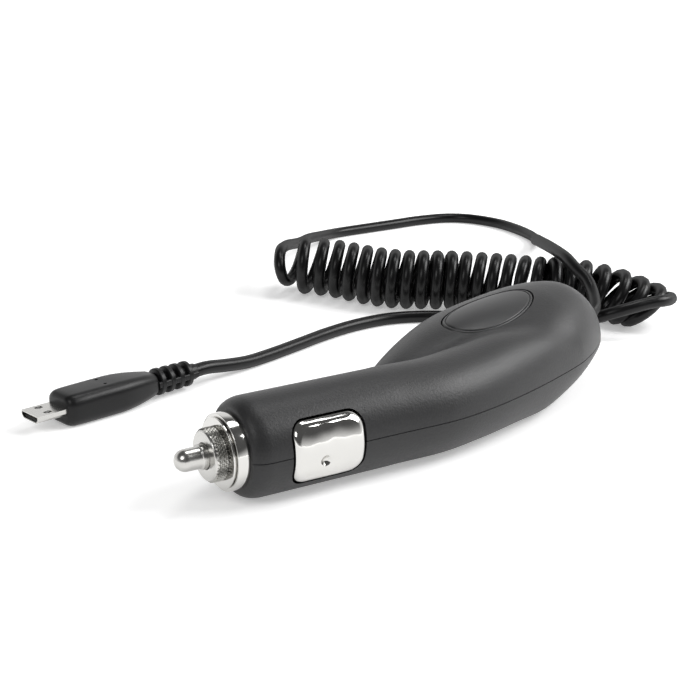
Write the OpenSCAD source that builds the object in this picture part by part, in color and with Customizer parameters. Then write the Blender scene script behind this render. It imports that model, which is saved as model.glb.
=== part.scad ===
// Car charger plug: a lighter-socket barrel with a comma-shaped head,
// a coiled cord and a small data plug. Millimetres, Z up, resting on Z = 0.
// All modules are written from the nose face of the housing, with X running
// along the barrel to the rear. The last lines move the model to its origin.

/* [Barrel] */
// Diameter of the straight barrel
barrel_d = 21; // [20:0.1:22]
// Length of the barrel from the nose face to the start of the head
barrel_len = 34; // [32:0.5:38]
// Thickness of the moulded housing wall
wall = 1.8; // [1.4:0.1:2]
// Diameter of the plastic face behind the metal ring
nose_face_d = 16.8; // [16.4:0.1:17.5]
// Length of the rounded shoulder at the nose
nose_round = 4; // [3:0.1:5]

/* [End ring] */
// Diameter of the metal ring at the nose
ring_d = 16; // [15.4:0.1:16.2]
// Length of the ring in front of the plastic
ring_len = 2.65; // [2:0.05:3]
// Diameter of the lip in front of the ring
lip_d = 14.6; // [14:0.1:15]
// Thickness of the lip
lip_len = 0.45; // [0.3:0.05:0.6]
// Width of the groove between the lip and the ring
lip_groove = 0.2; // [0.15:0.05:0.3]
// Outside diameter of the ring's sleeve inside the plastic
sleeve_d = 13; // [12.4:0.1:13.4]
// Length of the sleeve inside the plastic
sleeve_len = 6; // [5.4:0.1:6.2]
// Diameter of the collar that locks the ring in the housing
ring_lock_d = 15; // [14.6:0.1:15.2]
// Clearance round the metal pieces that sit in the housing
seat_gap = 0.1; // [0.05:0.05:0.15]

/* [Screw cap] */
// Diameter over the knurl of the screw cap
cap_d = 11; // [10.8:0.1:12]
// Length of the knurled head of the cap
cap_len = 2.85; // [2.4:0.05:3.4]
// Diameter of the cap's threaded shank, thread left off
cap_shank_d = 9.9; // [9.4:0.1:10]
// Length of the shank inside the ring
cap_shank_len = 7.8; // [6.5:0.1:8]
// Inside diameter of the cap
cap_bore_d = 7.6; // [7.5:0.1:8]
// Thickness of the cap's front wall
cap_front = 1.3; // [1:0.1:1.6]
// Number of teeth round the cap
cap_teeth = 40; // [30:2:50]
// How far the cap draws out with the fuse
cap_travel = 24; // [22:0.5:30]
// Clearance round the shank
shank_gap = 0.15; // [0.1:0.05:0.25]

/* [Centre tip] */
// Diameter of the centre tip
tip_d = 4.6; // [4.2:0.1:4.8]
// How far the tip stands out of the cap
tip_out = 6.4; // [5.5:0.1:7]
// Diameter of the thicker stage at the foot of the tip
tip_foot_d = 5.2; // [5:0.1:5.3]
// Length of that stage in front of the cap
tip_foot_len = 1.3; // [1:0.1:1.5]
// Diameter of the tip's collar inside the cap
tip_collar_d = 7.2; // [6.8:0.1:7.3]
// Length of the collar
tip_collar_len = 1.2; // [1:0.1:1.4]
// How far the tip presses in
tip_travel = 2.5; // [2:0.1:3]
// Clearance of the tip in the cap's hole
tip_gap = 0.15; // [0.1:0.05:0.2]

/* [Fuse] */
// Diameter of the fuse's metal caps
fuse_d = 5.2; // [5:0.1:5.3]
// Length of the fuse
fuse_len = 20; // [19:0.5:21]
// Length of each metal cap
fuse_cap_len = 5; // [4.5:0.1:5.5]
// Inside diameter of the tube that guides the fuse
fuse_tube_bore = 6; // [5.8:0.1:6.1]
// Outside diameter of the tube that guides the fuse
fuse_tube_d = 7.8; // [7.4:0.1:7.8]

/* [Tip spring] */
// Distance from the fuse to the brass cup behind it
spring_len = 13.6; // [13:0.1:14]
// Wire diameter of the spring
spring_wire = 0.6; // [0.5:0.05:0.7]
// Outside diameter of the spring
spring_d = 5.2; // [4.8:0.1:5.4]
// Number of turns
spring_turns = 6; // [5:1:7]
// Diameter of the brass cup
cup_d = 8; // [7.8:0.1:8.2]
// Thickness of the brass cup
cup_t = 1.6; // [1.4:0.1:1.8]

/* [Side contacts] */
// Length of a side contact along the barrel
contact_len = 16.3; // [15:0.1:17]
// Height of a side contact
contact_h = 13.2; // [12:0.1:13.6]
// Corner radius of a side contact
contact_r = 3; // [2:0.1:4]
// Distance from the nose face to the middle of a side contact
contact_x = 16.7; // [16.2:0.1:17]
// How far a side contact stands proud of the barrel
contact_proud = 0.7; // [0.4:0.1:0.9]
// Thickness of the contact's sheet
sheet = 0.6; // [0.4:0.1:0.7]
// How far a side contact presses in
contact_travel = 1; // [0.8:0.1:1.2]
// Gap round a side contact in its window
window_gap = 0.35; // [0.25:0.05:0.5]
// Width of the rim that holds a contact behind its window
contact_rim = 1; // [0.8:0.1:1.2]
// Width of the spring band between the two contacts
band_w = 8; // [6:0.5:10]
// Thickness of the spring band
band_t = 0.4; // [0.3:0.05:0.5]
// Half height of the spring band
band_rise = 6.2; // [5.8:0.1:6.6]

/* [Head] */
// Place of the oval inlay, in stations of the head
oval_station = 3.62; // [3.5:0.02:3.7]
// Half length of the oval inlay, in stations
oval_half_len = 1.08; // [1:0.02:1.12]
// Distance from the near edge of the head to the middle of the oval
oval_across = 21.4; // [21:0.1:21.8]
// Half width of the oval inlay
oval_half_w = 7.3; // [6.8:0.1:7.6]
// Slant of the oval, in millimetres for each station
oval_slant = -2.4; // [-2.8:0.1:-2]
// Gap round the oval inlay
oval_gap = 0.25; // [0.15:0.05:0.4]
// Height of the dome on the oval inlay
oval_dome = 0.4; // [0.2:0.1:0.8]
// Width of the flange that holds the inlay from inside
oval_flange = 1; // [0.8:0.1:1.5]
// Thickness of that flange
oval_flange_t = 0.8; // [0.6:0.1:1]
// Clearance between the flange and the housing's inner surface
inlay_seat = 0.25; // [0.1:0.05:0.3]

/* [Circuit board] */
// Thickness of the board
board_t = 1.2; // [1:0.1:1.6]
// Distance of the board's underside below the parting plane
board_drop = 2.5; // [2:0.1:3]
// Gap between the board's edge and the housing wall
board_gap = 1.4; // [1.2:0.1:2]
// Diameter of each smoothing capacitor
cap_can_d = 6.3; // [5:0.1:6.5]
// Height of each smoothing capacitor
cap_can_h = 7; // [6:0.5:8]
// Diameter of the choke's drum
choke_d = 9; // [8:0.1:9.5]
// Height of the choke's drum
choke_h = 7; // [6:0.1:8]
// Length of the regulator chip
chip_len = 9.6; // [9:0.1:10]
// Width of the regulator chip's body
chip_w = 6.4; // [6:0.1:6.6]
// Height of the regulator chip's body
chip_h = 3.3; // [3:0.1:3.6]
// Length of the diode's body
diode_len = 5.2; // [4.5:0.1:5.5]
// Diameter of the diode's body
diode_d = 2.7; // [2.4:0.1:2.9]
// Length of a resistor's body
resistor_len = 6; // [5.5:0.1:6.4]
// Diameter of a resistor's body
resistor_d = 2.3; // [2:0.1:2.5]
// Diameter of the leads and hook-up wires
lead_d = 0.8; // [0.6:0.1:1]

/* [Shell screws] */
// Diameter of the screw's thread
screw_d = 2.2; // [2:0.1:2.4]
// Diameter of the screw's head
screw_head_d = 4.2; // [4:0.1:4.4]
// Height of the screw's head
screw_head_h = 1.4; // [1.2:0.1:1.6]
// How far the screw reaches above the parting plane
screw_reach = 6; // [5:0.5:6.5]
// Depth of the screw's head below the parting plane
screw_depth = 6.4; // [6:0.1:6.8]
// Diameter of the bosses
boss_d = 6; // [5.6:0.1:6.2]

/* [Cord] */
// Diameter of the cord
cord_d = 3.3; // [3:0.1:3.6]
// Outside diameter of the coiled stretch
coil_d = 17.1; // [16:0.1:18]
// Diameter of the strain relief in the housing wall
relief_d = 5.8; // [5.4:0.1:6]
// Length of the strain relief outside the housing
relief_len = 9; // [8:0.1:10]
// Diameter of the strain relief's end
relief_end_d = 4.2; // [4:0.1:4.4]

/* [Data plug] */
// Width of the metal shell
usb_w = 6.85; // [6.8:0.01:6.9]
// Height of the metal shell
usb_h = 1.8; // [1.75:0.01:1.85]
// Sheet thickness of the metal shell
usb_sheet = 0.25; // [0.2:0.01:0.3]
// Length of the shell in front of the overmould
usb_out = 7.5; // [7:0.1:8]
// Length of the shell inside the overmould
usb_in = 3; // [2.5:0.1:3.5]
// Length of the overmould
grip_len = 26; // [25:0.5:27]
// Width of the overmould
grip_w = 10; // [9:0.1:11]
// Height of the overmould
grip_h = 7.6; // [7:0.1:8]
// Length of the ribbed boot
boot_len = 12.5; // [12:0.5:13]
// Diameter of the boot's ribs
boot_d = 6.5; // [6:0.1:7]
// Diameter of the boot's core
boot_core_d = 4.2; // [4:0.1:4.6]
// Number of ribs on the boot
boot_ribs = 4; // [3:1:5]

/* [Hidden] */

$fn = 64;
eps = 0.01;
barrel_r = barrel_d / 2;
axis_z = barrel_r;
inner_r = barrel_r - wall;

// Head outline, seen from above, as steps from where the barrel ends.
// Near side from the barrel to the rear, and far side the same way.
near_steps = [[0, 0], [14, 0], [26, 2.2], [38, 5.8], [50, 10.3], [61, 15.2], [70, 21.1], [77, 27.5]];
far_steps = [[0, 0], [11, 9.2], [23, 18.1], [35, 25.5], [48, 30], [61, 30.9], [71, 28.2], [77.4, 22]];
rear_step = [79.7, 13.4];
// Share of the head's width that the tube ridge and the far lobe each span
tube_share = [1, 0.7, 0.57, 0.48, 0.37, 0.6, 0.9, 1, 1];
lobe_share = [0.38, 0.53, 0.6, 0.77, 0.94, 1, 1, 1, 1];
// Heights over the parting plane, as steps from the barrel's radius
tube_top_steps = [0, -0.2, -0.1, 0.1, -0.9, -1.2, -0.8, -4.3];
tube_base_steps = [0, 0, -0.1, -0.2, -0.6, -1.8, -4, -6.9];
lobe_top_steps = [-barrel_r, -4.5, -1.6, 0.6, 2.2, 3.3, 2.2, -2.9];
lobe_base_steps = [-barrel_r, -4, -2, -0.9, -0.9, -1.8, -4, -6.9];
// How sharply the ridge and the lobe meet
blend_power = 8;

last = len(near_steps);
near_pts = [for (p = near_steps) [barrel_len + p[0], p[1] - barrel_r]];
far_pts = [for (p = far_steps) [barrel_len + p[0], p[1] + barrel_r]];
rear_pt = [barrel_len + rear_step[0], rear_step[1] + barrel_r];
outline = concat(near_pts, [rear_pt], [for (i = [last - 1 : -1 : 0]) far_pts[i]]);
outline_start = [near_pts[0][0] - near_steps[1][0], near_pts[0][1]];
outline_end = 2 * far_pts[0] - far_pts[1];

function unit(v) = v / norm(v);
function flat(p, z) = [p[0], p[1], z];
function cubic(a, b, c, d, t) =
    0.5 * (2 * b + (c - a) * t + (2 * a - 5 * b + 4 * c - d) * t * t
    + (3 * b - a - 3 * c + d) * t * t * t);
function knot(p, i, first, final) = i < 0 ? first : i > len(p) - 1 ? final : p[i];
function spline(p, s, first, final) =
    let (i = min(floor(s), len(p) - 2))
    cubic(knot(p, i - 1, first, final), p[i], p[i + 1], knot(p, i + 2, first, final), s - i);
function outline_at(s) = spline(outline, s, outline_start, outline_end);
function near_at(s) = outline_at(s);
function far_at(s) = outline_at(2 * last - s);
function width_at(s) = norm(far_at(s) - near_at(s));
function share_at(p, s) = min(1, spline(p, s, 2 * p[0] - p[1], 1));
function height_at(steps, s) =
    let (p = concat([for (v = steps) v + barrel_r], [0]))
    max(0, spline(p, s, 2 * p[0] - p[1], -p[last - 1]));
function lens(h, r, x) = h <= 0 || r <= 0 || abs(x) >= r ? 0 : h * sqrt(1 - x * x / (r * r));

// Height of the head's surface over the parting plane, or under it for
// side -1, at a distance from the near edge, inside a skin of a given depth
function head_h(s, d, skin, side) =
    let (w = width_at(s))
    let (tube_r = share_at(tube_share, s) * w / 2)
    let (lobe_r = share_at(lobe_share, s) * w / 2)
    let (tube_h = height_at(side > 0 ? tube_top_steps : tube_base_steps, s))
    let (lobe_h = height_at(side > 0 ? lobe_top_steps : lobe_base_steps, s))
    let (a = lens(tube_h - skin, tube_r - skin, d - tube_r))
    let (b = lens(lobe_h - skin, lobe_r - skin, d - w + lobe_r))
    pow(pow(a, blend_power) + pow(b, blend_power), 1 / blend_power);
function plan_at(s, d) = near_at(s) + d / width_at(s) * (far_at(s) - near_at(s));
function head_pt(s, d, skin, side) =
    concat(plan_at(s, d), [axis_z + side * head_h(s, d, skin, side)]);
function head_row(s, skin, side) =
    let (w = width_at(s))
    let (span = w - 2 * skin)
    [for (j = [0 : across]) head_pt(s, skin + span * (1 - cos(180 * j / across)) / 2, skin, side)];

across = 22;
cavity_end = 6.4;
inner_stations = [for (i = [0 : 16]) cavity_end * i / 16];
rear_stations = concat([last - 1], [for (i = [1 : 3]) last - 1 + sin(22.5 * i)]);
outer_stations = concat(inner_stations, rear_stations);

// The head's skin laps a little way into the barrel's wall
seam = 0.03;
lap = 0.5;
function lap_rows(skin, side) =
    let (row = head_row(0, skin, side))
    [[for (p = row) p - [lap, 0, 0]], row];

// One moulded half of the head as a hollow skin, for side 1 or -1
module head_skin(side) {
    outer = concat(lap_rows(seam, side), [for (s = outer_stations) if (s > 0) head_row(s, 0, side)]);
    inner = concat(lap_rows(wall - 2 * seam, side),
        [for (s = inner_stations) if (s > 0) head_row(s, wall, side)]);
    rows = len(outer);
    deep = len(inner);
    step = across + 1;
    apex = rows * step;
    o = function (i, j) i * step + j;
    n = function (i, j) apex + 1 + i * step + j;
    points = concat(
        [for (r = outer) for (p = r) p],
        [concat(rear_pt, [axis_z])],
        [for (r = inner) for (p = r) p]);
    faces = concat(
        [for (i = [0 : rows - 2]) for (j = [0 : across - 1])
            each [[o(i, j), o(i, j + 1), o(i + 1, j + 1)], [o(i, j), o(i + 1, j + 1), o(i + 1, j)]]],
        [for (j = [0 : across - 1]) [o(rows - 1, j), o(rows - 1, j + 1), apex]],
        [for (i = [0 : deep - 2]) for (j = [0 : across - 1])
            each [[n(i, j), n(i + 1, j + 1), n(i, j + 1)], [n(i, j), n(i + 1, j), n(i + 1, j + 1)]]],
        [[for (j = [across : -1 : 0]) n(deep - 1, j)]],
        [for (i = [0 : deep - 2]) [o(i, 0), o(i + 1, 0), n(i + 1, 0), n(i, 0)]],
        [for (i = [0 : deep - 2]) [n(i, across), n(i + 1, across), o(i + 1, across), o(i, across)]],
        [concat(
            [for (i = [deep - 1 : rows - 1]) o(i, 0)], [apex],
            [for (i = [rows - 1 : -1 : deep - 1]) o(i, across)],
            [n(deep - 1, across), n(deep - 1, 0)])],
        [for (j = [0 : across - 1]) [o(0, j), n(0, j), n(0, j + 1), o(0, j + 1)]]
    );
    polyhedron(points, side > 0 ? faces : [for (f = faces) [for (k = [len(f) - 1 : -1 : 0]) f[k]]]);
}

// A solid turned about the barrel's axis from points of radius and place
module turned(pts) {
    translate([0, 0, axis_z]) rotate([0, 90, 0]) rotate_extrude() polygon(pts);
}
module tube_x(r_out, r_in, x0, x1) {
    turned([[r_in, x0], [r_out, x0], [r_out, x1], [r_in, x1]]);
}
module rod_x(r, x0, x1) {
    translate([x0, 0, axis_z]) rotate([0, 90, 0]) cylinder(r = r, h = x1 - x0);
}

// Stations along the nose
sleeve_r = sleeve_d / 2;
lock_r = ring_lock_d / 2;
lock_x = 3;
lock_len = 1.2;
ring_bore_r = cap_shank_d / 2 + shank_gap;
lip_x = -ring_len - lip_groove - lip_len;
cap_x = lip_x - 0.05 - cap_len;
cap_back_x = cap_x + cap_len;
tip_x = cap_x - tip_out;
collar_x = cap_x + cap_front + 0.1;
fuse_x = collar_x + tip_collar_len;
fuse_end_x = fuse_x + fuse_len;
cup_x = fuse_end_x + spring_len;
nose_solid = sleeve_len + 0.8;
rib_x = cup_x - 1.6;
rib_end_x = cup_x + cup_t + 1.6;
shoulder_r = cup_d / 2 - 1;

module rounded_plate(len_x, len_z, r, depth) {
    pts = [for (c = [[1, 1, 0], [-1, 1, 90], [-1, -1, 180], [1, -1, 270]]) for (a = [0 : 15 : 90])
        [c[0] * (len_x / 2 - r) + r * cos(c[2] + a), c[1] * (len_z / 2 - r) + r * sin(c[2] + a)]];
    translate([contact_x, 0, axis_z]) rotate([90, 0, 0]) linear_extrude(depth) polygon(pts);
}

// The window for a side contact, on the near side
module window() {
    rounded_plate(contact_len + 2 * window_gap, contact_h + 2 * window_gap, contact_r + window_gap,
        barrel_r + 5);
}

// The cord leaves the head through a round hole on the parting plane
exit_station = 7.42;
exit_turn = 28;
exit_pt = far_at(exit_station);
relief_in = 3.1;
relief_collar = 0.6;
relief_collar_len = 1.4;
core_rise = 1.2;
core_gap = 0.1;
core_side = 0.9;
module at_exit() {
    translate([exit_pt[0], exit_pt[1], axis_z]) rotate([0, 0, exit_turn]) rotate([0, 90, 0]) children();
}

// The seat of the cord's strain relief, with a groove for its collar
module relief_seat() {
    r = relief_d / 2 + seat_gap;
    at_exit() rotate_extrude() polygon([
        [0, -relief_in - seat_gap], [r + relief_collar, -relief_in - seat_gap],
        [r + relief_collar, -relief_in + relief_collar_len + seat_gap],
        [r, -relief_in + relief_collar_len + seat_gap], [r, 8], [0, 8]]);
}

// Two screws through the lower shell into bosses of the upper one
screw_spots = [[2.2, 10], [5, 11]];
function spot(p) = plan_at(p[0], p[1]);

// A round post from inside one half's wall to a height over the floor
module post(p, d, z, side) {
    wall_z = axis_z + side * head_h(p[0], p[1], wall / 2, side);
    translate(concat(spot(p), [min(wall_z, z)])) cylinder(d = d, h = abs(z - wall_z));
}

module oval_prism(grow, z0, z1) {
    translate([0, 0, z0]) linear_extrude(z1 - z0)
        polygon([for (k = [0 : oval_sides - 1]) oval_plan(360 * k / oval_sides, 1, grow)]);
}
oval_sides = 40;
function oval_s(a, f) = oval_station + oval_half_len * f * cos(a);
function oval_d(a, f) = oval_across + oval_half_w * f * sin(a) + oval_slant * oval_half_len * f * cos(a);
function oval_plan(a, f, grow) =
    let (p = plan_at(oval_s(a, f), oval_d(a, f)))
    let (c = plan_at(oval_station, oval_across))
    p + grow * (p - c) / norm(p - c);

module barrel_half(side) {
    difference() {
        union() {
            difference() {
                turned(concat(
                    [[0, 0], [nose_face_d / 2, 0]],
                    [for (a = [15 : 15 : 90])
                        [nose_face_d / 2 + (barrel_r - nose_face_d / 2) * sin(a), nose_round * (1 - cos(a))]],
                    [[barrel_r, barrel_len], [0, barrel_len]]));
                rod_x(inner_r, nose_solid, barrel_len + 1);
            }
            tube_x(inner_r + wall / 2, cup_d / 2 + seat_gap, rib_x, rib_end_x - 1.6);
            tube_x(inner_r + wall / 2, shoulder_r, rib_end_x - 1.6, rib_end_x);
        }
        rod_x(sleeve_r + seat_gap, -1, nose_solid + 1);
        rod_x(lock_r + seat_gap, lock_x - seat_gap, lock_x + lock_len + seat_gap);
        window();
        mirror([0, 1, 0]) window();
        translate([rib_x - 1, -lead_slot / 2, axis_z + sleeve_r])
            cube([rib_end_x - rib_x + 2, lead_slot, inner_r - sleeve_r]);
        translate([-5, -50, side > 0 ? axis_z - 100 : axis_z]) cube([barrel_len + 10, 100, 100]);
    }
}

module upper_shell() {
    color("#37383a") difference() {
        union() {
            barrel_half(1);
            head_skin(1);
            for (p = screw_spots) post(p, boss_d, axis_z, 1);
        }
        for (p = screw_spots)
            translate(concat(spot(p), [axis_z - 1])) cylinder(d = screw_d, h = screw_reach + 1.5);
        oval_prism(oval_gap, axis_z + 5, axis_z + 20);
        relief_seat();
        for (m = [-1, 1]) at_exit() translate([-core_rise, m * core_side, -20])
            cylinder(d = lead_d + 2 * core_gap, h = 20);
    }
}

module lower_shell() {
    color("#323335") difference() {
        union() {
            barrel_half(-1);
            head_skin(-1);
            for (p = screw_spots) post(p, boss_d, axis_z, -1);
            for (p = board_posts) post(p, post_d, board_z, -1);
        }
        for (p = screw_spots) {
            translate(concat(spot(p), [0])) cylinder(d = screw_d + 0.3, h = axis_z + 1);
            translate(concat(spot(p), [-1])) cylinder(d = screw_head_d + 0.4, h = axis_z - screw_depth + 1);
        }
        relief_seat();
    }
}
board_z = axis_z - board_drop;
board_top = board_z + board_t;
post_d = 4;
board_posts = [[1.6, 8], [3.6, 31], [4, 8]];
lead_slot = 2.4;

module oval_inlay() {
    rings = [0.25, 0.5, 0.75, 0.9, 1];
    top = function (a, f) concat(oval_plan(a, f, 0),
        [axis_z + head_h(oval_s(a, f), oval_d(a, f), 0, 1) + oval_dome * (1 - f * f) - 0.1]);
    under = function (a, f, deep) concat(oval_plan(a, f, 0),
        [axis_z + head_h(oval_s(a, f), oval_d(a, f), wall + inlay_seat, 1) - deep]);
    wide = 1 + oval_flange / oval_half_w;
    sides = [for (k = [0 : oval_sides - 1]) 360 * k / oval_sides];
    mid = plan_at(oval_station, oval_across);
    mid_h = axis_z + head_h(oval_station, oval_across, 0, 1);
    rows = concat(
        [for (f = rings) [for (a = sides) top(a, f)]],
        [[for (a = sides) under(a, 1, 0)], [for (a = sides) under(a, wide, 0)],
            [for (a = sides) under(a, wide, oval_flange_t)]]);
    count = len(rows);
    at = function (i, k) 1 + i * oval_sides + k % oval_sides;
    points = concat([[mid[0], mid[1], mid_h + oval_dome - 0.1]], [for (r = rows) for (p = r) p],
        [[mid[0], mid[1], mid_h - wall - inlay_seat - oval_flange_t]]);
    base = len(points) - 1;
    faces = concat(
        [for (k = [0 : oval_sides - 1]) [0, at(0, k + 1), at(0, k)]],
        [for (i = [0 : count - 2]) for (k = [0 : oval_sides - 1])
            each [[at(i, k), at(i, k + 1), at(i + 1, k + 1)], [at(i, k), at(i + 1, k + 1), at(i + 1, k)]]],
        [for (k = [0 : oval_sides - 1]) [base, at(count - 1, k), at(count - 1, k + 1)]]);
    color("#3b3c3e") polyhedron(points, faces);
}

module end_ring() {
    color("#c9cbce") turned([
        [ring_bore_r, lip_x], [lip_d / 2, lip_x], [lip_d / 2, lip_x + lip_len],
        [lip_d / 2 - 0.5, lip_x + lip_len], [lip_d / 2 - 0.5, -ring_len], [ring_d / 2 - 0.3, -ring_len],
        [ring_d / 2, -ring_len + 0.3], [ring_d / 2, 0], [sleeve_r, 0], [sleeve_r, lock_x],
        [lock_r, lock_x], [lock_r, lock_x + lock_len], [sleeve_r, lock_x + lock_len],
        [sleeve_r, sleeve_len], [ring_bore_r, sleeve_len]]);
}

module screw_cap() {
    tooth = 0.25;
    head = [for (k = [0 : cap_teeth - 1])
        each [[cap_d / 2 * cos(360 * k / cap_teeth), cap_d / 2 * sin(360 * k / cap_teeth)],
            [(cap_d / 2 - tooth) * cos(360 * (k + 0.5) / cap_teeth),
            (cap_d / 2 - tooth) * sin(360 * (k + 0.5) / cap_teeth)]]];
    color("#c4c6c9") difference() {
        union() {
            translate([cap_x + 0.5, 0, axis_z]) rotate([0, 90, 0])
                linear_extrude(cap_len - 0.5) polygon(head);
            turned([[0, cap_x], [cap_d / 2 - 0.7, cap_x], [cap_d / 2 - tooth - 0.1, cap_x + 0.35],
                [cap_d / 2 - tooth - 0.1, cap_x + 0.6], [0, cap_x + 0.6]]);
            rod_x(cap_shank_d / 2, cap_back_x - eps, cap_back_x + cap_shank_len);
        }
        rod_x(tip_foot_d / 2 + tip_gap, cap_x - 1, cap_x + 5);
        rod_x(cap_bore_d / 2, cap_x + cap_front, cap_back_x + cap_shank_len + 1);
    }
}

module centre_tip() {
    r = tip_d / 2;
    color("#d0d2d4") turned(concat(
        [[0, tip_x]],
        [for (a = [15 : 15 : 90]) [r * sin(a), tip_x + r * (1 - cos(a))]],
        [[r, cap_x - tip_foot_len], [tip_foot_d / 2, cap_x - tip_foot_len + 0.3], [tip_foot_d / 2, collar_x],
            [tip_collar_d / 2, collar_x], [tip_collar_d / 2, fuse_x], [0, fuse_x]]));
}

module fuse_glass() {
    r = fuse_d / 2 - 0.15;
    color("#dfe6ea", 0.5) tube_x(r, r - 0.5, fuse_x + 0.3, fuse_end_x - 0.3);
}

module fuse_caps() {
    cup = [[0, 0], [fuse_d / 2, 0], [fuse_d / 2, fuse_cap_len], [fuse_d / 2 - 0.15, fuse_cap_len],
        [fuse_d / 2 - 0.15, 0.3], [0, 0.3]];
    color("#b9bcc0") {
        turned([for (p = cup) [p[0], fuse_x + p[1]]]);
        turned([for (p = cup) [p[0], fuse_end_x - p[1]]]);
    }
}

module fuse_wire() {
    color("#a8abad") rod_x(0.15, fuse_x + 0.3, fuse_end_x - 0.3);
}

module fuse_tube() {
    flange_r = ring_bore_r - seat_gap;
    front_x = cap_back_x + cap_shank_len + 0.2;
    color("#d9d7cf") turned([
        [fuse_tube_bore / 2, front_x], [flange_r, front_x], [flange_r, sleeve_len],
        [fuse_tube_d / 2, sleeve_len],
        [fuse_tube_d / 2, cup_x], [fuse_tube_bore / 2, cup_x]]);
}

// A round bar swept along points, with one ring at each point
module swept(pts, r, sides, up = [0, 0, 1]) {
    n = len(pts);
    dir = function (i) unit(pts[min(i + 1, n - 1)] - pts[max(i - 1, 0)]);
    ring = function (i)
        let (t = dir(i))
        let (u = unit(up - (up * t) * t))
        let (v = cross(t, u))
        [for (k = [0 : sides - 1]) pts[i] + r * (cos(360 * k / sides) * u + sin(360 * k / sides) * v)];
    points = [for (i = [0 : n - 1]) each ring(i)];
    at = function (i, k) i * sides + k % sides;
    faces = concat(
        [[for (k = [0 : sides - 1]) at(0, k)]],
        [for (i = [0 : n - 2]) for (k = [0 : sides - 1])
            each [[at(i, k), at(i + 1, k), at(i + 1, k + 1)], [at(i, k), at(i + 1, k + 1), at(i, k + 1)]]],
        [[for (k = [sides - 1 : -1 : 0]) at(n - 1, k)]]);
    polyhedron(points, faces);
}

module tip_spring() {
    mean_r = (spring_d - spring_wire) / 2;
    x0 = fuse_end_x + spring_wire / 2 + 0.1;
    x1 = cup_x + 0.6 - spring_wire / 2 - 0.05;
    steps = spring_turns * 12;
    color("#9da0a3") swept([for (i = [0 : steps])
        [x0 + (x1 - x0) * i / steps, mean_r * cos(30 * i), axis_z + mean_r * sin(30 * i)]],
        spring_wire / 2, 6, [1, 0, 0]);
}

module spring_cup() {
    color("#c8a24a") turned([[0, cup_x + 0.6], [cup_d / 2 - 0.7, cup_x + 0.6], [cup_d / 2 - 0.7, cup_x],
        [cup_d / 2, cup_x], [cup_d / 2, cup_x + cup_t], [0, cup_x + cup_t]]);
}

// A pressed contact: a shallow pan with a rim behind the window
module contact() {
    top_r = barrel_r + contact_proud;
    rim_r = inner_r - seat_gap;
    difference() {
        union() {
            intersection() {
                rod_x(top_r, 0, barrel_len);
                rounded_plate(contact_len, contact_h, contact_r, barrel_r + 5);
                translate([0, -50, 0]) cube([barrel_len, 50 - 2.5, barrel_d]);
            }
            intersection() {
                rod_x(rim_r, 0, barrel_len);
                rounded_plate(contact_len + 2 * contact_rim + 2 * window_gap,
                    contact_h + 2 * contact_rim + 2 * window_gap, contact_r + contact_rim, barrel_r + 5);
            }
        }
        intersection() {
            rod_x(top_r - sheet, -1, barrel_len + 1);
            rounded_plate(contact_len - 2 * sheet, contact_h - 2 * sheet, contact_r - sheet, barrel_r + 5);
        }
        rod_x(rim_r - sheet, -1, barrel_len + 1);
        translate([0, -contact_travel - 0.5, 0]) cube([barrel_len, barrel_d, barrel_d]);
        translate([contact_x - dimple_shift, -top_r - dimple_r * 0.45, axis_z + dimple_z])
            sphere(r = dimple_r);
    }
}
dimple_r = 1.1;
dimple_shift = 1.2;
dimple_z = -0.6;

module near_contact() {
    color("#cfd1d3") contact();
}

module far_contact() {
    color("#cfd1d3") mirror([0, 1, 0]) contact();
}

module contact_spring() {
    reach = barrel_r + contact_proud - sheet - 0.1;
    band = function (t) [for (k = [0 : 47]) [(band_rise - t) * cos(7.5 * k), (reach - t) * sin(7.5 * k)]];
    color("#9fa2a5") translate([contact_x - band_w / 2, 0, axis_z]) rotate([0, 90, 0])
        linear_extrude(band_w) difference() {
            polygon(band(0));
            polygon(band(band_t));
        }
}

board_stations = [for (i = [0 : 12]) 1.3 + 4.2 * i / 12];
module circuit_board() {
    inset = wall + board_gap;
    back = [for (i = [len(board_stations) - 1 : -1 : 0]) board_stations[i]];
    pts = concat(
        [for (s = board_stations) plan_at(s, inset)],
        [for (s = back) plan_at(s, width_at(s) - inset)]);
    color("#2f6b45") difference() {
        translate([0, 0, board_z]) linear_extrude(board_t) polygon(pts);
        for (p = screw_spots)
            translate(concat(spot(p), [board_z - 1])) cylinder(d = boss_d + 0.8, h = board_t + 2);
    }
}

// A piece on the board at a station, at a share of the head's width there
module on_board(s, share, turn) {
    p = plan_at(s, share * width_at(s));
    translate([p[0], p[1], board_top]) rotate([0, 0, turn]) children();
}

module can(d, h) {
    cylinder(d = d, h = h - 0.4);
    translate([0, 0, h - 0.4]) cylinder(d1 = d, d2 = d - 0.8, h = 0.4);
}

module input_capacitor() {
    color("#2b2f5a") on_board(3.1, 0.647, 0) can(cap_can_d, cap_can_h);
}

module output_capacitor() {
    color("#2b2f5a") on_board(5.05, 0.728, 0) can(cap_can_d, cap_can_h);
}

module choke_drum() {
    color("#4a4a4d") on_board(4, 0.687, 0) rotate_extrude() polygon([
        [0, 0], [choke_d / 2, 0], [choke_d / 2, 1], [choke_d / 4, 1], [choke_d / 4, choke_h - 1],
        [choke_d / 2, choke_h - 1], [choke_d / 2, choke_h], [0, choke_h]]);
}

module choke_winding() {
    color("#b5713a") on_board(4, 0.687, 0) rotate_extrude() polygon([
        [choke_d / 4, 1], [choke_d / 2 - 0.6, 1],
        [choke_d / 2 - 0.6, choke_h - 1], [choke_d / 4, choke_h - 1]]);
}

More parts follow.
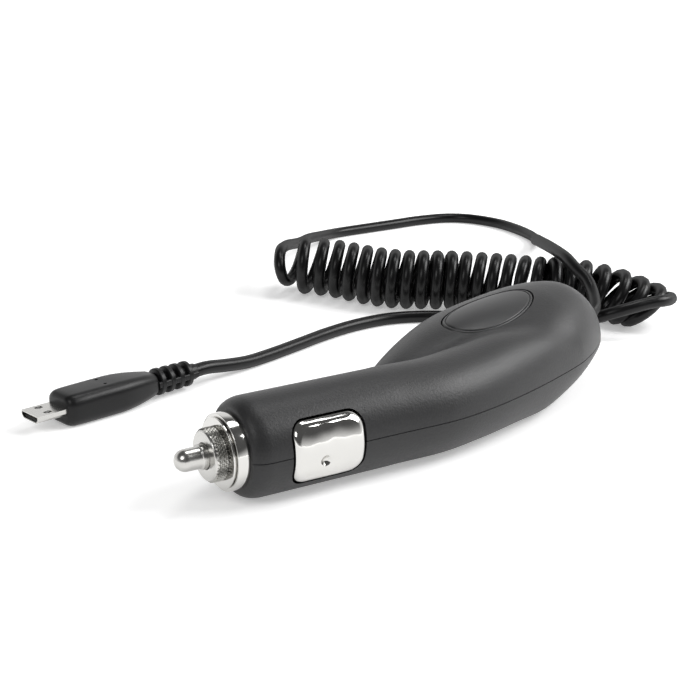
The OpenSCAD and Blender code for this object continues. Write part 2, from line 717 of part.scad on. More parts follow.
module regulator_chip() {
    legs = 4;
    pitch = 2.54;
    color("#222324") on_board(3.2, 0.438, 25) {
        translate([-chip_len / 2, -chip_w / 2, 0.4]) cube([chip_len, chip_w, chip_h]);
        for (k = [0 : legs - 1]) for (m = [-1, 1])
            translate([(k - (legs - 1) / 2) * pitch - 0.25, m * (chip_w / 2 + 0.3) - 0.6, 0])
                cube([0.5, 1.2, 1.2]);
    }
}

// An axial part: a round body with bent leads down to the board
module axial(len_x, d) {
    translate([-len_x / 2, 0, d / 2]) rotate([0, 90, 0]) cylinder(d = d, h = len_x);
    for (m = [-1, 1]) {
        translate([m > 0 ? len_x / 2 - eps : -len_x / 2 - 1, 0, d / 2]) rotate([0, 90, 0])
            cylinder(d = lead_d / 2, h = 1 + eps);
        translate([m * (len_x / 2 + 1), 0, 0]) cylinder(d = lead_d / 2, h = d / 2 + lead_d / 4);
    }
}

module diode() {
    color("#1f1f21") on_board(2.9, 0.222, 15) axial(diode_len, diode_d);
}

module resistors() {
    color("#b99a6b") {
        on_board(4.05, 0.332, 22) axial(resistor_len, resistor_d);
        on_board(4.05, 0.418, 22) axial(resistor_len, resistor_d);
    }
}

module positive_lead() {
    end = plan_at(1.5, 0.3 * width_at(1.5));
    color("#a03030") swept([
        [cup_x + cup_t, 0, axis_z], [cup_x + cup_t + 2.5, 0, axis_z], [barrel_len + 3, 0.2, axis_z + 0.6],
        [end[0] - 3, end[1], axis_z + 1.4], [end[0] - 0.8, end[1], axis_z + 0.8],
        [end[0], end[1], board_top + 0.6], [end[0], end[1], board_top]], lead_d / 2, 8, [0, 1, 0]);
}

module ground_lead() {
    end = plan_at(1.5, 0.4 * width_at(1.5));
    color("#2a2a2c") swept([
        [contact_x + band_w / 2, 0, axis_z + band_rise - band_t / 2],
        [contact_x + band_w / 2 + 0.8, 0, axis_z + band_rise - band_t / 2],
        [contact_x + band_w / 2 + 3, 0, axis_z + inner_r - 1.4], [rib_x - 1.5, 0, axis_z + inner_r - 1.2],
        [rib_end_x + 1, 0, axis_z + inner_r - 1.2], [barrel_len + 6, 1.5, axis_z + inner_r - 1.8],
        [end[0] - 2.5, end[1] - 0.4, axis_z + 2.2], [end[0] - 0.6, end[1], axis_z + 0.8],
        [end[0], end[1], board_top + 0.6], [end[0], end[1], board_top]], lead_d / 2, 8, [0, 1, 0]);
}

module cord_cores() {
    along = [cos(exit_turn), sin(exit_turn)];
    aside = [-sin(exit_turn), cos(exit_turn)];
    colors = ["#a03030", "#e6e4dc"];
    for (m = [0, 1]) {
        start = exit_pt - relief_in * along + (2 * m - 1) * core_side * aside;
        inside = start - 5 * along;
        end = exit_pt - core_reach * along + (2 * m - 1) * core_spread * aside;
        color(colors[m]) swept([
            flat(start, axis_z + core_rise), flat(inside, axis_z + core_rise),
            flat(end + 3.5 * along, axis_z + 1), flat(end + 0.9 * along, axis_z + 0.4),
            [end[0], end[1], board_top + 0.6], [end[0], end[1], board_top]], lead_d / 2, 8, [0, 1, 0]);
    }
}

// How far inside the exit the cord's two cores meet the board, and how
// far each one stands from the middle there
core_reach = 16.5;
core_spread = 1.6;

module shell_screws() {
    for (p = screw_spots) color("#b4b6b9") translate(concat(spot(p), [axis_z - screw_depth - screw_head_h])) {
        difference() {
            cylinder(d = screw_head_d, h = screw_head_h);
            for (a = [0, 90]) rotate([0, 0, a]) translate([-1.2, -0.25, -1]) cube([2.4, 0.5, 1.6]);
        }
        cylinder(d = screw_d - 0.1, h = screw_head_h + screw_depth + screw_reach);
    }
}

module cord_relief() {
    r = relief_d / 2;
    color("#3a3b3d") at_exit() rotate_extrude() polygon([
        [0, -relief_in], [r + relief_collar, -relief_in],
        [r + relief_collar, -relief_in + relief_collar_len], [r, -relief_in + relief_collar_len],
        [r, 1.5], [relief_end_d / 2, relief_len], [0, relief_len]]);
}

// The cord's route, as round numbers of X, Y and Z from the nose face
coil_r = coil_d / 2;
cord_r = cord_d / 2;
coil_z = coil_r;
over_z = coil_d + cord_r + 0.15;
coil_route = [[86, 121], [98, 101.5], [115.5, 84], [132, 66], [143, 55], [149, 42]];
lead_route = [[125.5, 36, 11.4], [129, 41, 13.2], [131, 46, 15.5], [131.5, 51.5, 17.4],
    [133, 57.5, over_z], [136, 67, over_z], [139.5, 76, over_z - 0.4], [144.5, 83.5, 16.4],
    [150, 90.5, 14.2], [156, 98, 11.8], [162.5, 106, 9.2], [169, 114, 6.6], [175.5, 121.5, 4],
    [181, 128.5, 2.2], [184.5, 136, cord_r], [186, 146, cord_r], [185.5, 156, cord_r],
    [181.5, 166, cord_r], [175, 171.5, cord_r], [165, 173.5, cord_r], [154, 173.5, cord_r],
    [142.5, 173.5, cord_r], [131.5, 173, cord_r + 0.1], [122, 168.5, 2.8], [112.5, 160, 5],
    [102, 148, 8], [93.5, 137, 11], [88, 129.5, 13.2]];
tail_route = [[148, 37, cord_r], [144, 34.5, cord_r], [138.5, 36.5, cord_r],
    [133.5, 41.5, cord_r], [129.5, 46.5, cord_r], [126, 52, cord_r], [119, 61.5, cord_r],
    [111, 70.5, cord_r], [102, 78, cord_r],
    [92, 81.5, cord_r], [81, 81.5, cord_r], [70, 79, cord_r], [60, 75.5, cord_r], [50, 72, cord_r],
    [41, 69, cord_r + 0.3], [34, 67, cord_r + 1.3]];

coil_in = unit(coil_route[1] - coil_route[0]);
coil_out = unit(coil_route[5] - coil_route[4]);
lead_start = flat(exit_pt + relief_len * [cos(exit_turn), sin(exit_turn)], axis_z);
lead_end = flat(coil_route[0], coil_d - cord_r - 0.5);
tail_start = flat(coil_route[5], cord_r);
plug_turn = 11.15;
plug_front = [-21.5, 55.8];
plug_z = grip_h / 2;
plug_len = usb_out + grip_len + boot_len;
plug_dir = [cos(plug_turn), sin(plug_turn)];
tail_end = flat(plug_front + plug_len * plug_dir, plug_z);

module cord_lead() {
    color("#1b1b1c") swept(concat(
        [lead_start, lead_start + 1.5 * [cos(exit_turn), sin(exit_turn), 0]], lead_route,
        [lead_end - flat(1.5 * coil_in, 0), lead_end]), cord_r, 8);
}

module cord_coil() {
    before = 2 * coil_route[0] - coil_route[1];
    after = 2 * coil_route[5] - coil_route[4];
    color("#1b1b1c")
        swept([for (i = [0 : 10]) flat(spline(coil_route, i / 2, before, after), coil_z)], coil_r, 16);
}

module cord_tail() {
    color("#1b1b1c") swept(concat(
        [tail_start, tail_start + flat(1.5 * coil_out, 0)], tail_route,
        [tail_end + flat(5 * plug_dir, 0), tail_end + flat(1.5 * plug_dir, 0), tail_end]), cord_r, 8);
}

// Everything below is drawn from the front of the data plug, along its axis
module at_plug() {
    translate(flat(plug_front, plug_z)) rotate([0, 0, plug_turn]) children();
}
grip_x = usb_out;
boot_x = usb_out + grip_len;

// A box along X with its long edges rounded, centred on the plug's axis
module round_bar(x0, len_x, w, h, r) {
    pts = [for (c = [[1, 1, 0], [-1, 1, 90], [-1, -1, 180], [1, -1, 270]]) for (a = [0 : 15 : 90])
        [c[0] * (h / 2 - r) + r * cos(c[2] + a), c[1] * (w / 2 - r) + r * sin(c[2] + a)]];
    translate([x0, 0, 0]) rotate([0, 90, 0]) linear_extrude(len_x) polygon(pts);
}

// The outline of the overmould, seen from above
module grip_plan() {
    w = grip_w / 2;
    polygon(concat(
        [[grip_x, -w + 1.4], [grip_x + 0.4, -w + 0.4], [grip_x + 1.4, -w], [grip_x + grip_len * 0.62, -w]],
        [[boot_x - 3, -w + 0.8], [boot_x - 1, -w + 1.4], [boot_x, -boot_core_d / 2]],
        [[boot_x, boot_core_d / 2], [boot_x - 1, w - 1.4], [boot_x - 3, w - 0.8]],
        [[grip_x + grip_len * 0.62, w], [grip_x + 1.4, w], [grip_x + 0.4, w - 0.4], [grip_x, w - 1.4]]));
}

module plug_grip() {
    rib_pitch = boot_len / (boot_ribs + 0.6);
    rib_len = rib_pitch * 0.5;
    color("#1d1d1e") at_plug() difference() {
        union() {
            intersection() {
                round_bar(grip_x, grip_len, grip_w, grip_h, 2.6);
                translate([0, 0, -grip_h]) linear_extrude(2 * grip_h) grip_plan();
            }
            translate([boot_x - eps, 0, 0]) rotate([0, 90, 0]) cylinder(d = boot_core_d, h = boot_len + eps);
            for (k = [0 : boot_ribs - 1]) translate([boot_x + (k + 0.6) * rib_pitch, 0, 0]) rotate([0, 90, 0])
                cylinder(d = boot_d - 0.3 * k, h = rib_len);
            for (m = [-1, 1]) translate([boot_x - 1, m * (boot_core_d / 2 + 0.3) - 0.6, -0.6])
                cube([boot_len * 0.9, 1.2, 1.2]);
        }
        translate([grip_x - 1, -usb_w / 2 - 0.05, -usb_h / 2 - 0.05])
            cube([usb_in + 1, usb_w + 0.1, usb_h + 0.1]);
        for (m = [[7, -1.6], [8.6, 1.2]])
            translate([grip_x + m[0], m[1], grip_h / 2 - 0.5]) cylinder(d = 1.5, h = 1);
    }
}

function usb_outline(t) = [[-usb_w / 2 + t, usb_h / 2 - t], [usb_w / 2 - t, usb_h / 2 - t],
    [usb_w / 2 - t, -usb_h / 2 + 0.75 + t * 0.4], [usb_w / 2 - 0.85 - t * 0.4, -usb_h / 2 + t],
    [-usb_w / 2 + 0.85 + t * 0.4, -usb_h / 2 + t], [-usb_w / 2 + t, -usb_h / 2 + 0.75 + t * 0.4]];
module along_x(x0, len_x) {
    translate([x0, 0, 0]) rotate([90, 0, 90]) linear_extrude(len_x) children();
}
latch_x = 2.6;
latch_y = 1.9;

module plug_shell() {
    color("#c9cbce") at_plug() difference() {
        along_x(0, usb_out + usb_in) polygon(usb_outline(0));
        along_x(-1, usb_out + usb_in + 2) polygon(usb_outline(usb_sheet));
        for (m = [-1, 1]) translate([latch_x, m * latch_y - 0.6, 0]) cube([1.8, 1.2, usb_h]);
    }
}

module plug_tongue() {
    color("#19191a") at_plug() {
        along_x(0.6, usb_out + usb_in - 0.6) translate([-usb_w / 2 + 0.9, -usb_h / 2 + usb_sheet])
            square([usb_w - 1.8, 0.5]);
        along_x(usb_out - 1, usb_in) translate([-usb_w / 2 + 0.5, -usb_h / 2 + 1])
            square([usb_w - 1, usb_h - 1 - usb_sheet]);
    }
}

module plug_contacts() {
    color("#c8a24a") at_plug() for (k = [-2 : 2])
        translate([1, k * 0.65 - 0.15, -usb_h / 2 + usb_sheet + 0.5]) cube([usb_out - 2.2, 0.3, 0.12]);
}

module plug_latches() {
    color("#b9bcc0") at_plug() for (m = [-1, 1])
        translate([latch_x + 0.2, m * latch_y - 0.35, 0]) rotate([90, 0, 0]) translate([0, 0, -0.7])
            linear_extrude(0.7) polygon([[0, 0.45], [1.4, 0.85], [0.9, 1.15], [0.3, 0.75], [0, 0.65]]);
}

// Shift from the nose face to the middle of the charger's own footprint
origin_x = (tip_x + rear_pt[0]) / 2;
lobe_y = max([for (s = [0 : 0.125 : last]) far_at(s)[1]]);
origin_y = (lobe_y - barrel_r - contact_proud) / 2;

translate([-origin_x, -origin_y, 0]) {
    upper_shell();
    lower_shell();
    oval_inlay();
    end_ring();
    screw_cap();
    centre_tip();
    fuse_glass();
    fuse_caps();
    fuse_wire();
    fuse_tube();
    tip_spring();
    spring_cup();
    near_contact();
    far_contact();
    contact_spring();
    circuit_board();
    input_capacitor();
    output_capacitor();
    choke_drum();
    choke_winding();
    regulator_chip();
    diode();
    resistors();
    positive_lead();
    ground_lead();
    cord_cores();
    shell_screws();
    cord_relief();
    cord_lead();
    cord_coil();
    cord_tail();
    plug_grip();
    plug_shell();
    plug_tongue();
    plug_contacts();
    plug_latches();
}
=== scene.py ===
import math

import bmesh
import bpy
import numpy as np
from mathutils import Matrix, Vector


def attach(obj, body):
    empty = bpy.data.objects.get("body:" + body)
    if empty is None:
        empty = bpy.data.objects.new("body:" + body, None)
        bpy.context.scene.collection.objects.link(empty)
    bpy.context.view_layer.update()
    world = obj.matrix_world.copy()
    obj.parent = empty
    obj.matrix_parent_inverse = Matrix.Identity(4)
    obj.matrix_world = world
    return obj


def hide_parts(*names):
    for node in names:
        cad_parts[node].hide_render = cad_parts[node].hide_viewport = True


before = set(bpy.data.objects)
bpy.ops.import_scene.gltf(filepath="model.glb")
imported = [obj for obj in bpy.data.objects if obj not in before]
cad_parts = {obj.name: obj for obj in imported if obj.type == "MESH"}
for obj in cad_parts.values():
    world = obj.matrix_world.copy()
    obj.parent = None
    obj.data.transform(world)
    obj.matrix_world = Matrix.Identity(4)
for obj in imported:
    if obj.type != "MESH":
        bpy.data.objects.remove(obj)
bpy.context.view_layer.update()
print("frame loaded")

# All shapes below are worked out in millimetres from the middle of the nose
# face, as in the part's source, and toFrame gives their place in the frame.
noseToFrame = np.array([50.55, 15.1563, 0.0])
axisZ = 10.5


def toFrame(points):
    return (np.asarray(points, float) - noseToFrame) / 1000.0


# camera

# where it stands, in millimetres, and how far it looks down and turns, in degrees
shot = {"lens": 77.14, "place": (-127.3, -247.1, 122.8), "down": 18.26, "turn": -32.11}

camera = bpy.data.cameras.new("camera")
camera.sensor_width = 36.0
camera.lens = shot["lens"]
camera.clip_start = 0.01
cameraObject = bpy.data.objects.new("camera", camera)
bpy.context.scene.collection.objects.link(cameraObject)
cameraObject.location = toFrame(shot["place"])
cameraObject.rotation_euler = (math.radians(90 - shot["down"]), 0, math.radians(shot["turn"]))
bpy.context.scene.camera = cameraObject
bpy.context.scene.view_settings.view_transform = "Standard"


# materials

def linear(hexColour):
    channels = [int(hexColour[i : i + 2], 16) / 255 for i in (1, 3, 5)]
    return [c / 12.92 if c <= 0.04045 else ((c + 0.055) / 1.055) ** 2.4 for c in channels] + [1.0]


def addNode(tree, kind, inputs=None, **settings):
    node = tree.nodes.new(kind)
    for name, value in settings.items():
        setattr(node, name, value)
    for name, value in (inputs or {}).items():
        if isinstance(value, bpy.types.NodeSocket):
            tree.links.new(value, node.inputs[name])
        else:
            node.inputs[name].default_value = value
    return node


def shaderOf(material):
    return material.node_tree.nodes["Principled BSDF"]


# Fine moulded or drawn grain, with its size and depth in millimetres.
def addGrain(material, size, depth, roughBy=0.0):
    tree = material.node_tree
    shader = shaderOf(material)
    where = addNode(tree, "ShaderNodeTexCoord")
    noise = addNode(
        tree,
        "ShaderNodeTexNoise",
        {"Vector": where.outputs["Object"], "Scale": 1000.0 / size, "Detail": 3.0, "Roughness": 0.6},
    )
    bump = addNode(
        tree,
        "ShaderNodeBump",
        {"Height": noise.outputs["Fac"], "Distance": depth / 1000.0, "Strength": 1.0},
    )
    tree.links.new(bump.outputs["Normal"], shader.inputs["Normal"])
    if roughBy:
        base = shader.inputs["Roughness"].default_value
        spread = addNode(
            tree,
            "ShaderNodeMapRange",
            {"Value": noise.outputs["Fac"], "To Min": base - roughBy, "To Max": base + roughBy},
        )
        tree.links.new(spread.outputs["Result"], shader.inputs["Roughness"])


# The grain is (size, depth, how far the roughness varies).
def makeMaterial(name, colour, roughness, metallic=0.0, specular=0.5, grain=None):
    material = bpy.data.materials.new(name)
    material.use_nodes = True
    shader = shaderOf(material)
    shader.inputs["Base Color"].default_value = linear(colour)
    shader.inputs["Roughness"].default_value = roughness
    shader.inputs["Metallic"].default_value = metallic
    shader.inputs["Specular IOR Level"].default_value = specular
    if grain:
        addGrain(material, *grain)
    return material


# spark-eroded grain of a matt moulded housing
housingPlastic = makeMaterial(
    "moulded_abs_housing", "#1f1f20", 0.45, specular=0.45, grain=(0.5, 0.06, 0.06)
)
inlayPlastic = makeMaterial("moulded_abs_inlay", "#262627", 0.4, grain=(0.3, 0.012, 0.04))

# bright nickel plate over turned brass or pressed steel
nickelPlate = makeMaterial("bright_nickel_plate", "#cfcecb", 0.1, 1.0, grain=(1.2, 0.004, 0.04))
# the same plate on the pressed contacts, whose faces are a little wavy
pressedNickel = makeMaterial("pressed_nickel_plate", "#cfcecb", 0.1, 1.0, grain=(3.0, 0.015))
# nickel plate over fine turning marks
turnedNickel = makeMaterial("turned_nickel_plate", "#c4c3c0", 0.24, 1.0, grain=(0.5, 0.006, 0.05))
# the cut faces of the knurl are duller than the turned ones
knurledNickel = makeMaterial("knurled_nickel_plate", "#a09f9b", 0.3, 1.0)

springSteel = makeMaterial("drawn_spring_steel", "#a5a5a3", 0.3, 1.0, grain=(0.4, 0.004))
brassPlain = makeMaterial("turned_brass", "#c9a45c", 0.25, 1.0, grain=(0.5, 0.004))
copperWire = makeMaterial("enamelled_copper_wire", "#a8642f", 0.3, 1.0)
goldPlate = makeMaterial("gold_plated_contact", "#cba650", 0.2, 1.0)

# smooth flexible vinyl of the cord's jacket, hazier at a flat angle
jacketHaze = {"from": 0.5, "facing": 0.32, "edge": 0.8}
cordVinyl = makeMaterial("soft_vinyl_jacket", "#0a0a0b", 0.34, specular=0.28, grain=(2.5, 0.02))
flatness = addNode(cordVinyl.node_tree, "ShaderNodeLayerWeight", {"Blend": 0.5})
haze = addNode(
    cordVinyl.node_tree,
    "ShaderNodeMapRange",
    {
        "Value": flatness.outputs["Facing"],
        "From Min": jacketHaze["from"],
        "From Max": 1.0,
        "To Min": jacketHaze["facing"],
        "To Max": jacketHaze["edge"],
    },
)
cordVinyl.node_tree.links.new(haze.outputs["Result"], shaderOf(cordVinyl).inputs["Roughness"])

plugVinyl = makeMaterial(
    "moulded_vinyl_overmould", "#101011", 0.38, specular=0.3, grain=(0.4, 0.012, 0.05)
)
reliefVinyl = makeMaterial("moulded_vinyl_relief", "#2a2a2b", 0.42, grain=(0.4, 0.012, 0.05))

blackResin = makeMaterial("black_filled_resin", "#1c1c1d", 0.5)
boardResin = makeMaterial("green_solder_mask", "#24583a", 0.4)
canSleeve = makeMaterial("blue_shrink_sleeve", "#25294f", 0.3)
ferriteCore = makeMaterial("sintered_ferrite", "#3f3f41", 0.6)
resistorLacquer = makeMaterial("beige_lacquer", "#b99a6b", 0.4)
guideNylon = makeMaterial("natural_nylon", "#d9d7cf", 0.45)
redInsulation = makeMaterial("red_wire_insulation", "#9a2f2c", 0.4)
blackInsulation = makeMaterial("black_wire_insulation", "#222224", 0.4)
clearGlass = makeMaterial("clear_fuse_glass", "#f2f6f7", 0.03)
shaderOf(clearGlass).inputs["Transmission Weight"].default_value = 1.0
shaderOf(clearGlass).inputs["IOR"].default_value = 1.48
print("materials made")


# mesh helpers

def makePiece(name, points, faces, material, body="charger", smoothAngle=40):
    mesh = bpy.data.meshes.new(name)
    mesh.from_pydata([tuple(p) for p in toFrame(points)], [], [tuple(f) for f in faces])
    mesh.update()
    fixNormals(mesh)
    piece = bpy.data.objects.new(name, mesh)
    bpy.context.scene.collection.objects.link(piece)
    mesh.materials.append(material)
    smooth(piece, smoothAngle)
    if body:
        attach(piece, body)
    return piece


def fixNormals(mesh):
    work = bmesh.new()
    work.from_mesh(mesh)
    bmesh.ops.remove_doubles(work, verts=work.verts, dist=1e-7)
    bmesh.ops.recalc_face_normals(work, faces=work.faces)
    work.to_mesh(mesh)
    work.free()


def smooth(piece, angle):
    piece.data.shade_smooth()
    piece.data.set_sharp_from_angle(angle=math.radians(angle))


# Turns the piece's modifiers into plain mesh.
def applyAll(piece):
    graph = bpy.context.evaluated_depsgraph_get()
    finished = bpy.data.meshes.new_from_object(piece.evaluated_get(graph))
    piece.modifiers.clear()
    piece.data = finished


def gridFaces(rows, columns, closed=False):
    faces = []
    for i in range(rows - 1):
        for j in range(columns if closed else columns - 1):
            k = (j + 1) % columns
            faces.append((i * columns + j, i * columns + k, (i + 1) * columns + k, (i + 1) * columns + j))
    return faces


# Closed rows with a face over the first and over the last.
def solidFaces(rows, columns):
    last = (rows - 1) * columns
    ends = [tuple(range(columns)), tuple(range(last, last + columns))]
    return gridFaces(rows, columns, closed=True) + ends


# Points round an axis, as (along, sideways, up), from a profile of (along, radius).
def turnedPoints(profile, segments):
    angles = np.arange(segments) * 2 * math.pi / segments
    return [(along, r * math.cos(a), r * math.sin(a)) for along, r in profile for a in angles]


# Moves points of (along, sideways, up) to an axis: where it starts, and its level direction.
def placedAlong(points, axis):
    start, direction = axis
    points = np.asarray(points, float)
    sideways = np.array([-direction[1], direction[0], 0])
    upward = np.array([0, 0, 1])
    return start + points[:, :1] * direction + points[:, 1:2] * sideways + points[:, 2:] * upward


barrelAxis = (np.array([0, 0, axisZ]), np.array([1, 0, 0]))


# A solid turned about an axis, from a profile of (along, radius).
def lathe(name, profile, material, body="charger", segments=128, smoothAngle=35, axis=barrelAxis):
    points = placedAlong(turnedPoints(profile, segments), axis)
    faces = gridFaces(len(profile), segments, closed=True)
    return makePiece(name, points, faces, material, body, smoothAngle)


# The 2-D points with each corner between the ends turned into a small arc.
# A corner's third number is its own radius.
def rounded(corners, radius, steps=5):
    points = [np.array(corner[:2], float) for corner in corners]
    out = [points[0]]
    for i in range(1, len(points) - 1):
        here = points[i]
        toBefore = points[i - 1] - here
        toAfter = points[i + 1] - here
        reachBefore = np.linalg.norm(toBefore)
        reachAfter = np.linalg.norm(toAfter)
        ownRadius = corners[i][2] if len(corners[i]) > 2 else radius
        cutBack = min(ownRadius, 0.49 * reachBefore, 0.49 * reachAfter)  # under half of each side
        start = here + toBefore / reachBefore * cutBack
        end = here + toAfter / reachAfter * cutBack
        for t in np.linspace(0, 1, steps):
            out.append((1 - t) ** 2 * start + 2 * t * (1 - t) * here + t * t * end)
    out.append(points[-1])
    return [tuple(p) for p in out]


def roundedRect(width, height, radius, steps=8):
    points = []
    for sx, sz, start in ((1, 1, 0), (-1, 1, 90), (-1, -1, 180), (1, -1, 270)):
        for angle in np.radians(start + np.linspace(0, 90, steps)):
            points.append(
                (
                    sx * (width / 2 - radius) + radius * math.cos(angle),
                    sz * (height / 2 - radius) + radius * math.sin(angle),
                )
            )
    return points


def circle(x, y, radius, count):
    angles = np.arange(count) * 2 * math.pi / count
    return [(x + radius * math.cos(a), y + radius * math.sin(a)) for a in angles]


# The same closed loop with its points evenly spaced.
def evenLoop(points, count):
    closed = np.array([*points, points[0]], float)
    lengths = np.concatenate([[0], np.cumsum(np.linalg.norm(np.diff(closed, axis=0), axis=1))])
    even = np.linspace(0, lengths[-1], count, endpoint=False)
    return np.stack([np.interp(even, lengths, closed[:, k]) for k in range(2)], axis=1)


# Catmull-Rom curve through values at 0, 1, 2 and so on.
def catmull(values, s, first=None, final=None):
    values = np.asarray(values, float)
    if values.ndim == 1:
        return catmull(values[:, None], s, first, final)[:, 0]
    before = 2 * values[0] - values[1] if first is None else np.atleast_1d(first)
    after = 2 * values[-1] - values[-2] if final is None else np.atleast_1d(final)
    knots = np.vstack([before, values, after])
    s = np.atleast_1d(np.asarray(s, float))
    i = np.clip(np.floor(s).astype(int), 0, len(values) - 2)
    t = (s - i)[:, None]
    a, b, c, d = knots[i], knots[i + 1], knots[i + 2], knots[i + 3]
    return 0.5 * (
        2 * b + (c - a) * t + (2 * a - 5 * b + 4 * c - d) * t**2 + (3 * b - a - 3 * c + d) * t**3
    )


# head surface

barrel = {"length": 34.0, "radius": 10.5, "noseRadius": 8.4, "noseRound": 4.0}
# The head runs on from the barrel in stations. Its near and far edges are
# steps from the barrel's edges. Tube and lobe each take a share of the width,
# and stand higher (above 0) or lower than the barrel, on its upper side (1)
# and its lower side (-1). The power sets how sharply the two domes meet.
head = {
    "near": [(0, 0), (14, 0), (26, 2.2), (38, 5.8), (50, 10.3), (61, 15.2), (70, 21.1), (77, 27.5)],
    "far": [(0, 0), (11, 9.2), (23, 18.1), (35, 25.5), (48, 30), (61, 30.9), (71, 28.2), (77.4, 22)],
    "rear": (79.7, 13.4),
    "tubeShare": [1, 0.7, 0.57, 0.48, 0.37, 0.6, 0.9, 1, 1],
    "lobeShare": [0.38, 0.53, 0.6, 0.77, 0.94, 1, 1, 1, 1],
    "tubeSteps": {
        1: [0, -0.2, -0.1, 0.1, -0.9, -1.2, -0.8, -4.3],
        -1: [0, 0, -0.1, -0.2, -0.6, -1.8, -4, -6.9],
    },
    "lobeSteps": {
        1: [-barrel["radius"], -4.5, -1.6, 0.6, 2.2, 3.3, 2.2, -2.9],
        -1: [-barrel["radius"], -4, -2, -0.9, -0.9, -1.8, -4, -6.9],
    },
    "power": 8,
}
lastStation = len(head["near"])
nearPoints = [(barrel["length"] + x, y - barrel["radius"]) for x, y in head["near"]]
farPoints = [(barrel["length"] + x, y + barrel["radius"]) for x, y in head["far"]]
rearPoint = (barrel["length"] + head["rear"][0], head["rear"][1] + barrel["radius"])
outline = np.array(nearPoints + [rearPoint] + farPoints[::-1])
outlineStart = outline[0] - [head["near"][1][0], 0]
outlineEnd = 2 * outline[-1] - outline[-2]


# The two edges at a station: the outline runs out along one and back along the other.
def edgesAt(s):
    near = catmull(outline, s, outlineStart, outlineEnd)
    far = catmull(outline, 2 * lastStation - np.atleast_1d(s), outlineStart, outlineEnd)
    return near, far


def shareAt(shares, s):
    return np.minimum(catmull(shares, s, None, 1.0), 1.0)


def heightAt(steps, s):
    heights = [v + barrel["radius"] for v in steps] + [0]
    return np.maximum(catmull(heights, s, None, -heights[-2]), 0)


def dome(height, radius, x):
    inside = np.clip(1 - (x / np.maximum(radius, 1e-6)) ** 2, 0, 1)
    return np.where((height > 0) & (radius > 0), height, 0) * np.sqrt(inside)


# Height over the parting plane at a distance from the near edge.
def headHeight(s, across, side, skin=0.0):
    s = np.atleast_1d(np.asarray(s, float))
    near, far = edgesAt(s)
    perStation = (-1,) + (1,) * (across.ndim - 1)
    width = np.linalg.norm(far - near, axis=1).reshape(perStation)
    tubeRadius = shareAt(head["tubeShare"], s).reshape(perStation) * width / 2
    lobeRadius = shareAt(head["lobeShare"], s).reshape(perStation) * width / 2
    tubeHeight = heightAt(head["tubeSteps"][side], s).reshape(perStation)
    lobeHeight = heightAt(head["lobeSteps"][side], s).reshape(perStation)
    tube = dome(tubeHeight - skin, tubeRadius - skin, across - tubeRadius)
    lobe = dome(lobeHeight - skin, lobeRadius - skin, across - width + lobeRadius)
    return (tube ** head["power"] + lobe ** head["power"]) ** (1 / head["power"])


def planAt(s, across):
    near, far = edgesAt(s)
    width = np.linalg.norm(far - near, axis=1)
    return near + (far - near) * (np.atleast_1d(across) / width)[:, None]


# shells

# The parting line is a fine groove: the last row of each half turns inward.
# The inner skin ends at a station before the rear.
shell = {"wall": 1.8, "grooveDepth": 0.28, "grooveHalf": 0.09, "innerEnd": 6.4, "smoothAngle": 38}
rowCounts = {"across": 72, "nose": 13, "barrel": 14, "head": 120}


# Cross-sections from the nose to the rear, each from near to far.
def shellRows(side, skin):
    turns = np.linspace(0, math.pi, rowCounts["across"] + 1)
    noseRise = barrel["radius"] - barrel["noseRadius"]
    profile = []
    for angle in np.radians(np.linspace(0, 90, rowCounts["nose"])):
        along = barrel["noseRound"] * (1 - math.cos(angle))
        profile.append((along, barrel["noseRadius"] + noseRise * math.sin(angle)))
    for along in np.linspace(barrel["noseRound"] + 2, barrel["length"] - 2, rowCounts["barrel"]):
        profile.append((along, barrel["radius"]))
    rows = []
    for along, radius in profile:
        reach = radius - skin
        rows.append([(along, -reach * math.cos(t), axisZ + side * reach * math.sin(t)) for t in turns])
    end = shell["innerEnd"] if skin else lastStation
    stations = np.linspace(0, 1, rowCounts["head"]) * end
    if not skin:
        # the rows draw together where the rear closes
        closing = lastStation - 1
        drawn = closing + np.sin((stations - closing) * math.pi / 2)
        stations = np.where(stations > closing, drawn, stations)[:-1]
    near, far = edgesAt(stations)
    width = np.linalg.norm(far - near, axis=1)
    span = np.maximum(width - 2 * skin, 0)
    across = skin + span[:, None] * (1 - np.cos(turns))[None, :] / 2
    height = headHeight(stations, across, side, skin)
    height[:, [0, -1]] = 0
    plan = near[:, None] + (far - near)[:, None] * (across / width[:, None])[:, :, None]
    for planRow, heightRow in zip(plan, height):
        rows.append([(*p, axisZ + side * h) for p, h in zip(planRow, heightRow)])
    return np.array(rows)


# Adds the small step at the parting plane to both ends of each row.
def withGroove(rows, side):
    out = []
    for row in rows:
        inward = row[-1][:2] - row[0][:2]
        span = max(np.linalg.norm(inward), 1e-6)
        shift = min(shell["grooveDepth"], span / 4) * inward / span
        ends = []
        for end, sign in ((0, 1), (-1, -1)):
            lip = row[end].copy()
            lip[2] = axisZ + side * shell["grooveHalf"]
            foot = lip.copy()
            foot[:2] += shift * sign
            deep = foot.copy()
            deep[2] = axisZ
            ends.append([deep, foot, lip])
        lowest = shell["grooveHalf"] * 1.6  # points nearer to the lip are left out
        middle = [p for p in row[1:-1] if side * (p[2] - axisZ) > lowest]
        while len(middle) < len(row) - 2:
            middle.insert(len(middle) // 2, middle[len(middle) // 2] if middle else ends[0][2])
        out.append(ends[0] + middle + ends[1][::-1])
    return np.array(out)


